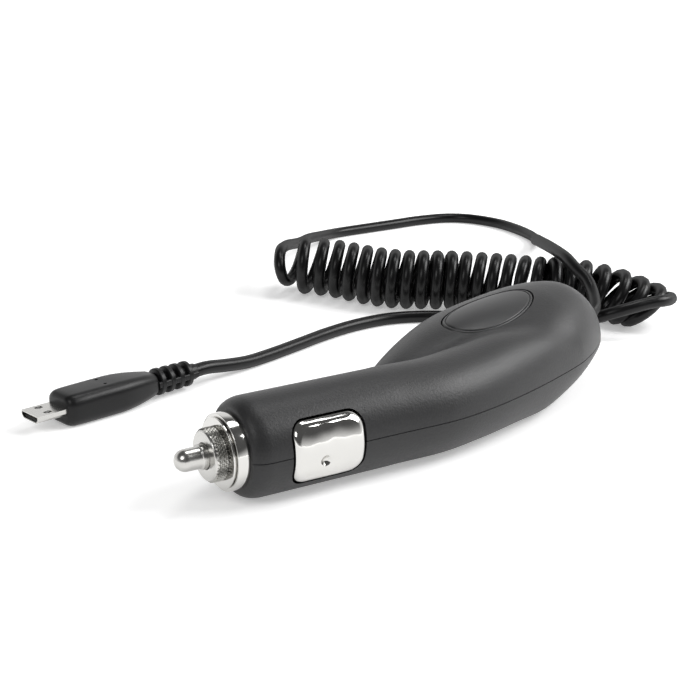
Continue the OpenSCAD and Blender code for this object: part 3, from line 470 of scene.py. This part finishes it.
def makeShell(name, side):
    outer = withGroove(shellRows(side, 0.0), side)
    inner = shellRows(side, shell["wall"])
    outerCount = outer.shape[1]
    innerCount = inner.shape[1]
    rearTip = np.array([[*rearPoint, axisZ]])
    points = np.vstack([outer.reshape(-1, 3), rearTip, inner.reshape(-1, 3)])
    apex = len(outer) * outerCount
    base = apex + 1
    outerLast = apex - outerCount
    innerLast = base + (len(inner) - 1) * innerCount
    faces = gridFaces(len(outer), outerCount)
    faces += [(outerLast + j, outerLast + j + 1, apex) for j in range(outerCount - 1)]
    faces += [tuple(base + k for k in face) for face in gridFaces(len(inner), innerCount)]
    faces.append(tuple(range(innerLast, innerLast + innerCount)))
    # flat rim on the parting plane
    for i in range(len(inner) - 1):
        for a, b in ((0, base), (outerCount - 1, base + innerCount - 1)):
            faces.append(
                (
                    i * outerCount + a,
                    (i + 1) * outerCount + a,
                    (i + 1) * innerCount + b,
                    i * innerCount + b,
                )
            )
    beyond = len(inner) - 1
    rim = [k * outerCount for k in range(beyond, len(outer))] + [apex]
    rim += [k * outerCount + outerCount - 1 for k in range(len(outer) - 1, beyond - 1, -1)]
    rim += [innerLast + innerCount - 1, innerLast]
    faces.append(tuple(rim))
    # nose face
    faces.append((*range(outerCount), *range(base + innerCount - 1, base - 1, -1)))
    return makePiece(name, points, faces, housingPlastic, smoothAngle=shell["smoothAngle"])


# openings in the shells

# cutFrom and cutTo are how far each opening's cutting solid reaches
contact = {
    "middle": 16.7,
    "length": 16.3,
    "height": 13.2,
    "corner": 3.0,
    "gap": 0.35,
    "cutFrom": 4.0,
    "cutTo": 14.0,
}
cordExit = {"turn": 28.0, "station": 7.42, "radius": 3.0, "cutFrom": -3.2, "cutTo": 8.0}
# the recesses for the screws' heads, with their places as (station, across)
recess = {"places": [(2.2, 10), (5, 11)], "radius": 2.3, "cutFrom": -1.0, "cutTo": 4.1}
oval = {
    "station": 3.62,
    "halfStations": 1.08,
    "across": 21.4,
    "halfWidth": 7.3,
    "slant": -2.4,
    "gap": 0.28,
    "points": 120,
    "cutFrom": 15.0,
    "cutTo": 30.0,
}
exitTurn = math.radians(cordExit["turn"])
leaveAlong = np.array([math.cos(exitTurn), math.sin(exitTurn), 0])
exitPoint = edgesAt(cordExit["station"])[1][0]
exitAxis = (np.array([*exitPoint, axisZ]), leaveAlong)


# A solid to cut with, from two loops of points.
def cutter(name, points):
    return makePiece(name, points, solidFaces(2, len(points) // 2), housingPlastic, body=None)


# An upright prism over a closed loop of plan points.
def prism(name, loop, low, high):
    return cutter(name, [(x, y, low) for x, y in loop] + [(x, y, high) for x, y in loop])


def windowTool(side):
    gap = contact["gap"]
    loop = roundedRect(contact["length"] + 2 * gap, contact["height"] + 2 * gap, contact["corner"] + gap)
    depths = (contact["cutFrom"], contact["cutTo"])
    points = [(contact["middle"] + x, side * y, axisZ + z) for y in depths for x, z in loop]
    return cutter("window_tool", points)


def exitTool():
    bore = [(cordExit[end], cordExit["radius"]) for end in ("cutFrom", "cutTo")]
    return cutter("exit_tool", placedAlong(turnedPoints(bore, 32), exitAxis))


# The oval's edge in plan, moved out by grow, or a share of the oval within it.
def ovalLoop(grow, share=1.0):
    angles = np.linspace(0, 2 * math.pi, oval["points"], endpoint=False)
    ahead = oval["halfStations"] * share * np.cos(angles)
    stations = oval["station"] + ahead
    across = oval["across"] + oval["halfWidth"] * share * np.sin(angles) + oval["slant"] * ahead
    plan = planAt(stations, across)
    away = plan - planAt(oval["station"], oval["across"])[0]
    plan = plan + grow * away / np.maximum(np.linalg.norm(away, axis=1), 1e-6)[:, None]
    return plan, stations, across


def cut(piece, tools, smoothAngle=38):
    for tool in tools:
        modifier = piece.modifiers.new("cut", "BOOLEAN")
        modifier.operation = "DIFFERENCE"
        modifier.solver = "EXACT"
        modifier.object = tool
    applyAll(piece)
    smooth(piece, smoothAngle)


upperShell = makeShell("shell_upper", 1)
lowerShell = makeShell("shell_lower", -1)
sideTools = [windowTool(-1), windowTool(1), exitTool()]
ovalTool = prism("oval_tool", ovalLoop(oval["gap"])[0], oval["cutFrom"], oval["cutTo"])
recessTools = []
for station, across in recess["places"]:
    screwHead = circle(*planAt(station, across)[0], recess["radius"], 32)
    recessTools.append(prism("recess_tool", screwHead, recess["cutFrom"], recess["cutTo"]))
cut(upperShell, [*sideTools, ovalTool])
cut(lowerShell, [*sideTools, *recessTools])
for tool in [*sideTools, ovalTool, *recessTools]:
    bpy.data.objects.remove(tool)
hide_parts("upper_shell")
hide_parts("lower_shell")
print("shells made")


# oval inlay

# from the middle out, as (share of the oval, drop under the head's surface)
inlayShape = {
    "rings": [(0.12, 0), (0.3, 0), (0.5, 0), (0.68, 0), (0.8, 0), (0.88, 0), (0.905, 0.02), (0.915, 0.1)]
    + [(0.92, 0.3), (0.935, 0.3), (0.94, 0.1), (0.95, 0.04), (0.975, 0.04), (0.987, 0.12), (0.995, 0.3)]
    + [(1.0, 0.5), (1.0, 1.6)],
    "crown": 0.4,
    "sunk": 0.02,
}


def makeInlay():
    points = []
    for share, drop in inlayShape["rings"]:
        plan, stations, across = ovalLoop(0.0, share)
        surface = np.array([headHeight(s, np.array([d]), 1)[0] for s, d in zip(stations, across)])
        lift = inlayShape["crown"] * (1 - share * share) - inlayShape["sunk"]
        points += [(x, y, axisZ + h + lift - drop) for (x, y), h in zip(plan, surface)]
    faces = solidFaces(len(inlayShape["rings"]), oval["points"])
    return makePiece("inlay", points, faces, inlayPlastic, smoothAngle=50)


inlay = makeInlay()
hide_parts("oval_inlay")


# nose

noseRing = {
    "profile": [(6, 5.1), (-3.3, 5.1), (-3.3, 7.3), (-2.85, 7.3), (-2.85, 6.8), (-2.65, 6.8), (-2.65, 8.0)]
    + [(0, 8.0), (0, 6.5), (3, 6.5), (3, 7.5), (4.2, 7.5), (4.2, 6.5), (6, 6.5), (6, 5.1)],
    "rounding": 0.14,
}
capBody = {
    "profile": [(4.45, 3.8), (-4.9, 3.8), (-4.9, 2.75), (-6.2, 2.75), (-6.2, 5.05, 0.25)]
    + [(-5.75, 5.2, 0.2), (-3.35, 5.2), (-3.35, 4.95), (4.45, 4.95), (4.45, 3.8)],
    "rounding": 0.12,
}
capKnurlShape = {"around": 42, "rows": 5, "radius": 5.12, "start": -5.7, "end": -3.4, "height": 0.44}
tipPin = {
    "front": -12.6,
    "radius": 2.3,
    "profile": [(-10.2, 2.3), (-7.5, 2.3), (-7.3, 2.6), (-4.8, 2.6), (-4.8, 3.6), (-3.6, 3.6), (-3.6, 0.02)],
    "rounding": 0.1,
}

ring = lathe("nose_ring", rounded(noseRing["profile"], noseRing["rounding"]), nickelPlate)
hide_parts("end_ring")

capHead = lathe("cap_body", rounded(capBody["profile"], capBody["rounding"]), turnedNickel, body="cap")


# A diamond knurl: small pyramids on points round the cap, by nodes.
def knurl(name, shape):
    tree = bpy.data.node_groups.new(name, "GeometryNodeTree")
    tree.interface.new_socket("Geometry", in_out="OUTPUT", socket_type="NodeSocketGeometry")
    sockets = {}
    for label, kind, value in (
        ("Studs around", "NodeSocketInt", shape["around"]),
        ("Rows", "NodeSocketInt", shape["rows"]),
        ("Radius", "NodeSocketFloat", shape["radius"] / 1000),
        ("Length", "NodeSocketFloat", (shape["end"] - shape["start"]) / 1000),
        ("Stud height", "NodeSocketFloat", shape["height"] / 1000),
    ):
        socket = tree.interface.new_socket(label, in_out="INPUT", socket_type=kind)
        sockets[socket.identifier] = value

    def maths(operation, first, second=0.0):
        return addNode(tree, "ShaderNodeMath", {0: first, 1: second}, operation=operation).outputs[0]

    given = tree.nodes.new("NodeGroupInput").outputs
    studCount = maths("MULTIPLY", given["Studs around"], given["Rows"])
    cloud = addNode(tree, "GeometryNodePoints", {"Count": studCount})
    index = addNode(tree, "GeometryNodeInputIndex").outputs[0]
    row = maths("FLOOR", maths("DIVIDE", index, given["Studs around"]))
    place = maths("SUBTRACT", index, maths("MULTIPLY", row, given["Studs around"]))
    # every other row is turned by half a stud
    half = maths("MULTIPLY", maths("MODULO", row, 2.0), 0.5)
    turned = maths("DIVIDE", maths("ADD", place, half), given["Studs around"])
    angle = maths("MULTIPLY", turned, 2 * math.pi)
    cosine = maths("COSINE", angle)
    sine = maths("SINE", angle)
    rowShare = maths("DIVIDE", maths("ADD", row, 0.5), given["Rows"])
    spot = addNode(
        tree,
        "ShaderNodeCombineXYZ",
        {
            "X": maths("MULTIPLY", rowShare, given["Length"]),
            "Y": maths("MULTIPLY", cosine, given["Radius"]),
            "Z": maths("MULTIPLY", sine, given["Radius"]),
        },
    )
    moved = addNode(
        tree, "GeometryNodeSetPosition", {"Geometry": cloud.outputs[0], "Position": spot.outputs[0]}
    )
    outward = addNode(tree, "ShaderNodeCombineXYZ", {"Y": cosine, "Z": sine})
    facing = addNode(
        tree, "FunctionNodeAlignRotationToVector", {"Vector": outward.outputs[0]}, axis="Z"
    )
    pitch = maths("DIVIDE", maths("MULTIPLY", given["Radius"], 2 * math.pi), given["Studs around"])
    stud = addNode(
        tree,
        "GeometryNodeMeshCone",
        {
            "Vertices": 4,
            "Radius Top": maths("MULTIPLY", pitch, 0.06),
            "Radius Bottom": maths("MULTIPLY", pitch, 0.62),
            "Depth": given["Stud height"],
        },
    )
    placed = addNode(
        tree,
        "GeometryNodeInstanceOnPoints",
        {"Points": moved.outputs[0], "Instance": stud.outputs[0], "Rotation": facing.outputs[0]},
    )
    real = addNode(tree, "GeometryNodeRealizeInstances", {"Geometry": placed.outputs[0]})
    painted = addNode(
        tree, "GeometryNodeSetMaterial", {"Geometry": real.outputs[0], "Material": knurledNickel}
    )
    addNode(tree, "NodeGroupOutput", {0: painted.outputs[0]})

    piece = bpy.data.objects.new(name, bpy.data.meshes.new(name))
    bpy.context.scene.collection.objects.link(piece)
    modifier = piece.modifiers.new("knurl", "NODES")
    modifier.node_group = tree
    for identifier, value in sockets.items():
        modifier[identifier] = value
    applyAll(piece)
    piece.data.materials.clear()
    piece.data.materials.append(knurledNickel)
    shift = Vector(toFrame([shape["start"], 0, axisZ]))
    for vertex in piece.data.vertices:
        vertex.co += shift
    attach(piece, "cap")
    return piece


capKnurl = knurl("cap_knurl", capKnurlShape)
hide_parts("screw_cap")

tipRound = []
for a in np.linspace(0.02, math.pi / 2, 14):
    along = tipPin["front"] + tipPin["radius"] * (1 - math.cos(a))
    tipRound.append((along, tipPin["radius"] * math.sin(a)))
tip = lathe(
    "tip_pin",
    tipRound + rounded(tipPin["profile"], tipPin["rounding"]),
    turnedNickel,
    body="tip",
    segments=64,
)
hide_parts("centre_tip")


# side contacts

# A contact's outline is given with its window, under openings. The pan's face
# follows the barrel's curve and stands proud of it.
pan = {"proud": 0.7, "edge": 1.3, "depth": 2.4, "wall": 0.6, "floor": 0.1, "ledge": 0.4}
panCounts = {"corner": 14, "loop": 168, "face": 56, "edge": 12}
dimple = {"x": -1.3, "z": -1.85, "radius": 1.35, "depth": 0.9}


# How deep the dimple and the slight waves of the pressing lie.
def hollowAt(x, z, drop):
    depth = 0.0
    if drop < 0.3:
        away = math.hypot(x - dimple["x"], z - dimple["z"])
        depth = dimple["depth"] * max(0.0, 1 - (away / dimple["radius"]) ** 2) ** 1.5
    wave = 0.05 * math.sin(0.62 * x + 0.9) * math.cos(0.5 * z - 0.4)
    wave += 0.02 * math.sin(1.5 * x + 0.8 * z)
    return depth + wave * max(0.0, 1 - drop)


# A pressed pan with soft edges, a dimple and a rim behind its window.
def makeContact(name, side, body):
    size = np.array([contact["length"], contact["height"]])
    loop = evenLoop(roundedRect(*size, contact["corner"], panCounts["corner"]), panCounts["loop"])
    inner = loop * (1 - 2 * pan["wall"] / size)
    edge = pan["edge"]
    rings = [(loop * share, 0.0) for share in np.linspace(0.01, 0.83, panCounts["face"])]
    for turn in np.radians(np.linspace(6, 90, panCounts["edge"])):
        inset = edge * (1 - math.sin(turn))
        rings.append((loop * (1 - 2 * inset / size), edge * (1 - math.cos(turn))))
    rings += [(loop, pan["depth"]), (inner, pan["depth"]), (inner, edge + pan["ledge"])]
    rings += [(inner * 0.5, edge + pan["floor"]), (inner * 0.04, edge + pan["floor"])]
    points = []
    for ringPoints, drop in rings:
        for x, z in ringPoints:
            radius = barrel["radius"] + pan["proud"] - drop - hollowAt(x, z, drop)
            y = math.sqrt(max(radius * radius - z * z, 0.01))
            points.append((contact["middle"] + x, side * y, axisZ + z))
    faces = solidFaces(len(rings), len(loop))
    piece = makePiece(name, points, faces, pressedNickel, body, smoothAngle=75)
    return piece


nearContact = makeContact("contact_near", -1, "near_side_contact")
farContact = makeContact("contact_far", 1, "far_side_contact")
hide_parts("near_contact")
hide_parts("far_contact")
print("nose and contacts made")


# cord

# The routes were chosen after the photograph. Each turn of the coil
# has the place where it touches the floor, how far it leans over, in degrees,
# and its radius, from the left end to the fanned end.
cordShape = {
    "radius": 1.65,
    "lead": [
        (125.5, 36, 11.4), (129, 41, 13.2), (131, 46, 15.5), (131.5, 51.5, 17.4), (133, 57.5, 18.8),
        (136, 67, 18.9), (139.5, 76, 18.2), (144.5, 83.5, 16.5), (150, 90.5, 14.2), (156, 98, 11.8),
        (162.5, 106, 9.2), (169, 114, 6.6), (175.5, 121.5, 4), (181, 128.5, 2.2), (184.5, 136, 1.65),
        (186, 146, 1.65), (185.5, 156, 1.65), (181.5, 166, 1.65), (175, 171.5, 1.65), (165, 173.5, 1.65),
        (154, 173.5, 1.65), (142.5, 173.5, 1.65), (131.5, 173, 1.75), (122, 168.5, 2.8), (112.5, 160, 5),
        (102, 148, 7.6), (92.4, 137.8, 10.4), (87.3, 131.3, 12), (82.8, 126, 12.6), (79.6, 121.8, 11.2),
    ],
    "tail": [
        (152.4, 35, 9.1), (148.4, 34.6, 9.6), (144, 35.8, 9.2), (139.8, 36.9, 8.5), (135.8, 38.8, 7.4),
        (132, 42, 5.7), (129, 46, 3.8), (126.3, 51, 2.2), (123.3, 56, 1.65), (118.5, 62, 1.65),
        (111, 70, 1.65), (102, 77.5, 1.65), (92, 81.5, 1.65), (81, 81.5, 1.65), (70, 79, 1.65),
        (60, 75.5, 1.65), (50, 72, 1.65), (41, 69, 1.9), (34, 67, 2.8),
    ],
}
coilShape = {
    "firstTurn": -0.7,
    "finalTurn": 23.98,
    "marks": [-1, -0.5, 0.5, 1.5, 2.5, 4.5, 6.5, 8.5, 10.5, 12.5, 14.5, 16.5, 18, 19, 20, 21, 22, 23, 24, 25],
    "floor": [
        (80.4, 125.4), (83.4, 123.2), (88.2, 120.5), (91.2, 116.4), (93.6, 111.8), (97, 102.4), (101.7, 94.8),
        (108.2, 89.6), (114.8, 84.6), (120.8, 78.8), (126.3, 72.8), (131.4, 66.6), (136, 63), (138.8, 60.5),
        (140.5, 57.4), (142.2, 54.3), (143.9, 51.3), (145.5, 48.3), (147, 45.3), (148.4, 42.4),
    ],
    "lean": [8, 10, 12, 13, 13, 12, 11, 10, 9, 9, 9, 10, 12, 16, 24, 34, 44, 53, 60, 66],
    "radius": [8, 7.2] + [6.9] * 11 + [6.8] * 7,
    # near each end the turns face one way: (turn, over how many turns, direction)
    "leftFacing": (10.5, 3, (0.76, -0.65)),
    "rightFacing": (17, 4, (0.8, -0.6)),
}
cordRadius = cordShape["radius"]


# Even points along a Catmull-Rom curve through the route.
def smoothThrough(route, step, before=None, after=None):
    route = np.array(route, float)
    dense = catmull(route, np.linspace(0, len(route) - 1, len(route) * 24), before, after)
    lengths = np.concatenate([[0], np.cumsum(np.linalg.norm(np.diff(dense, axis=0), axis=1))])
    count = max(2, int(round(lengths[-1] / step)) + 1)
    even = np.linspace(0, lengths[-1], count)
    return np.stack([np.interp(even, lengths, dense[:, k]) for k in range(3)], axis=1)


# Which way each turn faces along the coil: the floor line's own direction,
# settled to one direction near each end.
def facingAlong(turns, index):
    line = coilShape["floor"]
    along = catmull(line, np.minimum(index + 0.2, len(line) - 1)) - catmull(line, np.maximum(index - 0.2, 0))
    along = along / np.linalg.norm(along, axis=1)[:, None]
    leftTurn, leftOver, leftWay = coilShape["leftFacing"]
    rightTurn, rightOver, rightWay = coilShape["rightFacing"]
    for share, way in (
        (np.clip((leftTurn - turns) / leftOver, 0, 1)[:, None], leftWay),
        (np.clip((turns - rightTurn) / rightOver, 0, 1)[:, None], rightWay),
    ):
        along = along * (1 - share) + np.array(way) * share
    return along / np.linalg.norm(along, axis=1)[:, None]


def coilPoints(perTurn=20):
    turns = np.arange(coilShape["firstTurn"], coilShape["finalTurn"] + 1e-6, 1 / perTurn)
    index = np.interp(turns, coilShape["marks"], np.arange(len(coilShape["marks"])))
    floorPoints = catmull(coilShape["floor"], index)
    facing = facingAlong(turns, index)
    lean = np.radians(catmull(coilShape["lean"], index))
    radius = catmull(coilShape["radius"], index)
    out = []
    for t, f, a, tilt, r in zip(turns, floorPoints, facing, lean, radius):
        up = np.array([a[0] * math.sin(tilt), a[1] * math.sin(tilt), math.cos(tilt)])
        toViewer = np.array([a[1], -a[0], 0])
        phase = 2 * math.pi * t
        centre = np.array([f[0], f[1], cordRadius]) + r * up
        out.append(centre + r * (math.cos(phase) * up + math.sin(phase) * toViewer))
    return np.array(out)


# The cord bends evenly where the coil begins and ends.
def easeJoin(points, middle, reach, rounds):
    fade = np.cos(np.linspace(-1, 1, 2 * reach + 1) * math.pi / 2)[:, None]
    first = middle - reach
    final = middle + reach + 1
    for _ in range(rounds):
        between = (points[first - 1 : final - 1] + points[first + 1 : final + 1]) / 2
        points[first:final] += 0.5 * fade * (between - points[first:final])


def makeCord(name, points, radius, material):
    curve = bpy.data.curves.new(name, "CURVE")
    curve.dimensions = "3D"
    spline = curve.splines.new("POLY")
    spline.points.add(len(points) - 1)
    for point, place in zip(spline.points, toFrame(points)):
        point.co = (*place, 1.0)
    curve.bevel_depth = radius / 1000
    curve.bevel_resolution = 5
    curve.use_fill_caps = True
    piece = bpy.data.objects.new(name, curve)
    bpy.context.scene.collection.objects.link(piece)
    curve.materials.append(material)
    return piece


# where the data plug's front lies, and how its line is turned from the barrel's, in degrees
plug = {"front": (-21.5, 55.8, 3.8), "turn": 11.15, "length": 46.0}
plugTurn = math.radians(plug["turn"])
plugAlong = np.array([math.cos(plugTurn), math.sin(plugTurn), 0])
plugFront = np.array(plug["front"])
plugAxis = (plugFront, plugAlong)

reliefLength = 9.0
cordStart = exitAxis[0] + reliefLength * leaveAlong
cordEnd = plugFront + plug["length"] * plugAlong
coil = coilPoints()
# the cord starts and ends with a short straight stretch
leadRoute = [cordStart, cordStart + 2.2 * leaveAlong, *cordShape["lead"], coil[0]]
tailRoute = [coil[-1], *cordShape["tail"], cordEnd + 4 * plugAlong, cordEnd]
lead = smoothThrough(leadRoute, 1.6, after=coil[5])[:-1]
tail = smoothThrough(tailRoute, 1.4, before=coil[-6])[1:]
cordPoints = np.vstack([lead, coil, tail])
for join in (len(lead), len(lead) + len(coil)):
    easeJoin(cordPoints, join, reach=8, rounds=24)

cord = makeCord("charging_cord", cordPoints, cordRadius, cordVinyl)
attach(cord, "charger")
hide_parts("cord_lead", "cord_coil", "cord_tail")


# strain relief

reliefShape = {
    "profile": [(-3.1, 0.05), (-3.1, 3.5), (-1.7, 3.5), (-1.7, 2.9), (1.5, 2.9, 0.6)]
    + [(reliefLength, 2.1, 0.3), (reliefLength, 1.4), (reliefLength - 0.1, 0.05)],
    "rounding": 0.15,
}
relief = lathe(
    "cord_grommet",
    rounded(reliefShape["profile"], reliefShape["rounding"]),
    reliefVinyl,
    segments=48,
    smoothAngle=45,
    axis=exitAxis,
)
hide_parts("cord_relief")


# data plug

gripShape = {
    # (along, width, height, corner radius), from the front
    "sections": [
        (7.5, 6.6, 4.4, 1.4), (7.55, 7.6, 5.4, 1.8), (7.9, 8.8, 6.6, 2.2), (8.6, 9.6, 7.2, 2.4),
        (9.6, 9.95, 7.5, 2.5), (12, 10, 7.6, 2.5), (17, 10, 7.6, 2.4), (22, 10, 7.6, 2.4),
        (24, 9.8, 7.5, 2.4), (27, 8.9, 7.1, 2.3), (30, 7.6, 6.4, 2.2), (32.6, 6.4, 5.6, 2.1),
        (33.4, 5.6, 5.0, 2.0), (33.5, 4.3, 4.2, 1.9),
    ],
    # two small pits in the top, as (along, sideways)
    "pits": [(19.2, 1.9), (19.2, -1.7)],
    "pitRadius": 0.4,
    "pitFrom": 3.3,
    "pitTo": 6.0,
}
bootShape = {"core": 2.0, "first": 34.35, "pitch": 2.72, "ribs": 4, "ribRadius": 3.3, "taper": 0.06}
barShape = {"start": 33.6, "end": 45.3, "width": 1.5, "height": 1.6, "startOut": 2.35, "endOut": 2.2}


def makeGrip():
    loopSteps = 10
    points = []
    for along, width, height, corner in gripShape["sections"]:
        # a little short of half the width, so that the loop keeps its flats
        corner = min(corner, width / 2.05, height / 2.05)
        points += [(along, y, z) for y, z in roundedRect(width, height, corner, loopSteps)]
    faces = solidFaces(len(gripShape["sections"]), 4 * loopSteps)
    return makePiece("plug_overmould", placedAlong(points, plugAxis), faces, plugVinyl, smoothAngle=50)


grip = makeGrip()
pits = []
for along, sideways in gripShape["pits"]:
    pit = placedAlong([(x, y, 0) for x, y in circle(along, sideways, gripShape["pitRadius"], 16)], plugAxis)
    low, high = (plugFront[2] + gripShape[end] for end in ("pitFrom", "pitTo"))
    pits.append(prism("pit_tool", pit[:, :2], low, high))
cut(grip, pits)
for tool in pits:
    bpy.data.objects.remove(tool)
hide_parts("plug_grip")


# The ribs' profile, from the grip to the cord.
def bootProfile():
    core = bootShape["core"]
    profile = [(33.3, core)]
    for k in range(bootShape["ribs"]):
        start = bootShape["first"] + k * bootShape["pitch"]
        radius = bootShape["ribRadius"] - bootShape["taper"] * k
        profile += [(start - 0.1, core), (start, radius - 0.25), (start + 0.25, radius)]
        profile += [(start + 1.1, radius), (start + 1.35, radius - 0.25), (start + 1.45, core)]
    end = plug["length"]
    return profile + [(end - 0.4, core), (end, core - 0.1), (end, 0.05)]


boot = lathe("plug_boot", bootProfile(), plugVinyl, segments=48, smoothAngle=40, axis=plugAxis)

# a bar on each side joins the ribs, a little lower at its rear end
for k, side in enumerate((-1, 1)):
    loop = roundedRect(barShape["width"], barShape["height"], 0.4, 4)
    points = [(barShape["start"], side * barShape["startOut"] + y, z) for y, z in loop]
    points += [(barShape["end"], side * barShape["endOut"] + y, z * 0.9) for y, z in loop]
    faces = solidFaces(2, len(loop))
    bar = makePiece(
        "boot_bar_%d" % (k + 1), placedAlong(points, plugAxis), faces, plugVinyl, smoothAngle=60
    )
print("plug made")


# the CAD's own pieces

carriedMaterials = {
    "plug_shell": turnedNickel,
    "plug_tongue": blackResin,
    "plug_contacts": goldPlate,
    "plug_latches": springSteel,
    "fuse_glass": clearGlass,
    "fuse_caps": nickelPlate,
    "fuse_wire": springSteel,
    "fuse_tube": guideNylon,
    "tip_spring": springSteel,
    "spring_cup": brassPlain,
    "contact_spring": springSteel,
    "circuit_board": boardResin,
    "input_capacitor": canSleeve,
    "output_capacitor": canSleeve,
    "choke_drum": ferriteCore,
    "choke_winding": copperWire,
    "regulator_chip": blackResin,
    "diode": blackResin,
    "resistors": resistorLacquer,
    "positive_lead": redInsulation,
    "ground_lead": blackInsulation,
    "cord_cores": blackInsulation,
    "shell_screws": springSteel,
}
for name, material in carriedMaterials.items():
    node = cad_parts[name]
    node.data.materials.clear()
    node.data.materials.append(material)


# floor, light and world

# how bright the paper is near the charger, and from where to where it turns
# white, in metres
paper = {"lift": 0.35, "whiteFrom": 0.16, "whiteAt": 0.5, "half": 3.0}
# the room's light, how dark its ceiling mirrors, and the way to its darkest place
room = {"light": 0.35, "ceiling": 0.1, "whiteUpTo": 0.15, "darkFrom": 0.55, "darkest": (-0.24, -0.38, 1.0)}
softboxes = {
    "right_softbox": {
        "place": (0.55, -0.25, 0.5), "target": (0.02, 0.0, 0.01), "size": (0.5, 0.35), "power": 5.0
    },
    "left_softbox": {
        "place": (-0.5, -0.26, 0.5), "target": (0.0, 0.02, 0), "size": (0.3, 0.3), "power": 1.2
    },
    "top_softbox": {
        "place": (0.22, 0.1, 0.7), "target": (0, 0.02, 0), "size": (0.22, 0.22), "power": 1.0
    },
}

half = paper["half"]
floorMesh = bpy.data.meshes.new("floor")
floorMesh.from_pydata(
    [(-half, -half, 0), (half, -half, 0), (half, half, 0), (-half, half, 0)], [], [(0, 1, 2, 3)]
)
floor = bpy.data.objects.new("floor", floorMesh)
bpy.context.scene.collection.objects.link(floor)
floorPaper = makeMaterial("white_backdrop_paper", "#f4f4f4", 0.8, specular=0.05)
floorMesh.materials.append(floorPaper)


def largerOf(tree, first, second):
    return addNode(tree, "ShaderNodeMath", {0: first, 1: second}, operation="MAXIMUM").outputs[0]


# 1 for rays that mirror or pass the background on, and 1 for the camera's own
def viewRays(tree):
    path = addNode(tree, "ShaderNodeLightPath").outputs
    return largerOf(tree, path["Is Glossy Ray"], path["Is Transmission Ray"]), path["Is Camera Ray"]


# A smooth step between two values as the input goes from one place to another.
def fadeBetween(tree, value, fromMin, fromMax, toMin, toMax):
    fade = addNode(
        tree,
        "ShaderNodeMapRange",
        {"Value": value, "From Min": fromMin, "From Max": fromMax, "To Min": toMin, "To Max": toMax},
        interpolation_type="SMOOTHSTEP",
    )
    return fade.outputs["Result"]


# the paper keeps the shadow near the charger and runs out to plain white
paperTree = floorPaper.node_tree
spot = addNode(paperTree, "ShaderNodeTexCoord")
distance = addNode(paperTree, "ShaderNodeVectorMath", {0: spot.outputs["Object"]}, operation="LENGTH")
lift = fadeBetween(
    paperTree, distance.outputs["Value"], paper["whiteFrom"], paper["whiteAt"], paper["lift"], 1.0
)
seen = largerOf(paperTree, *viewRays(paperTree))
glow = addNode(paperTree, "ShaderNodeMath", {0: lift, 1: seen}, operation="MULTIPLY")
shaderOf(floorPaper).inputs["Emission Color"].default_value = (1, 1, 1, 1)
paperTree.links.new(glow.outputs[0], shaderOf(floorPaper).inputs["Emission Strength"])

# a white backdrop behind and the unlit part of the studio above and in front
world = bpy.data.worlds.new("studio")
bpy.context.scene.world = world
world.use_nodes = True
worldTree = world.node_tree
background = worldTree.nodes["Background"]
background.inputs["Color"].default_value = (1, 1, 1, 1)
direction = addNode(worldTree, "ShaderNodeTexCoord")
upward = addNode(
    worldTree,
    "ShaderNodeVectorMath",
    {0: direction.outputs["Generated"], 1: room["darkest"]},
    operation="DOT_PRODUCT",
)
ceiling = fadeBetween(
    worldTree, upward.outputs["Value"], room["whiteUpTo"], room["darkFrom"], 1.0, room["ceiling"]
)
mirrored, cameraRay = viewRays(worldTree)
level = addNode(
    worldTree, "ShaderNodeMapRange", {"Value": mirrored, "To Min": room["light"], "To Max": ceiling}
)
strength = largerOf(worldTree, level.outputs["Result"], cameraRay)
worldTree.links.new(strength, background.inputs["Strength"])

for name, box in softboxes.items():
    light = bpy.data.lights.new(name, "AREA")
    light.shape = "RECTANGLE"
    light.size, light.size_y = box["size"]
    light.energy = box["power"]
    lamp = bpy.data.objects.new(name, light)
    bpy.context.scene.collection.objects.link(lamp)
    lamp.location = box["place"]
    aim = Vector(box["target"]) - Vector(box["place"])
    lamp.rotation_euler = aim.to_track_quat("-Z", "Y").to_euler()
print("stage made")
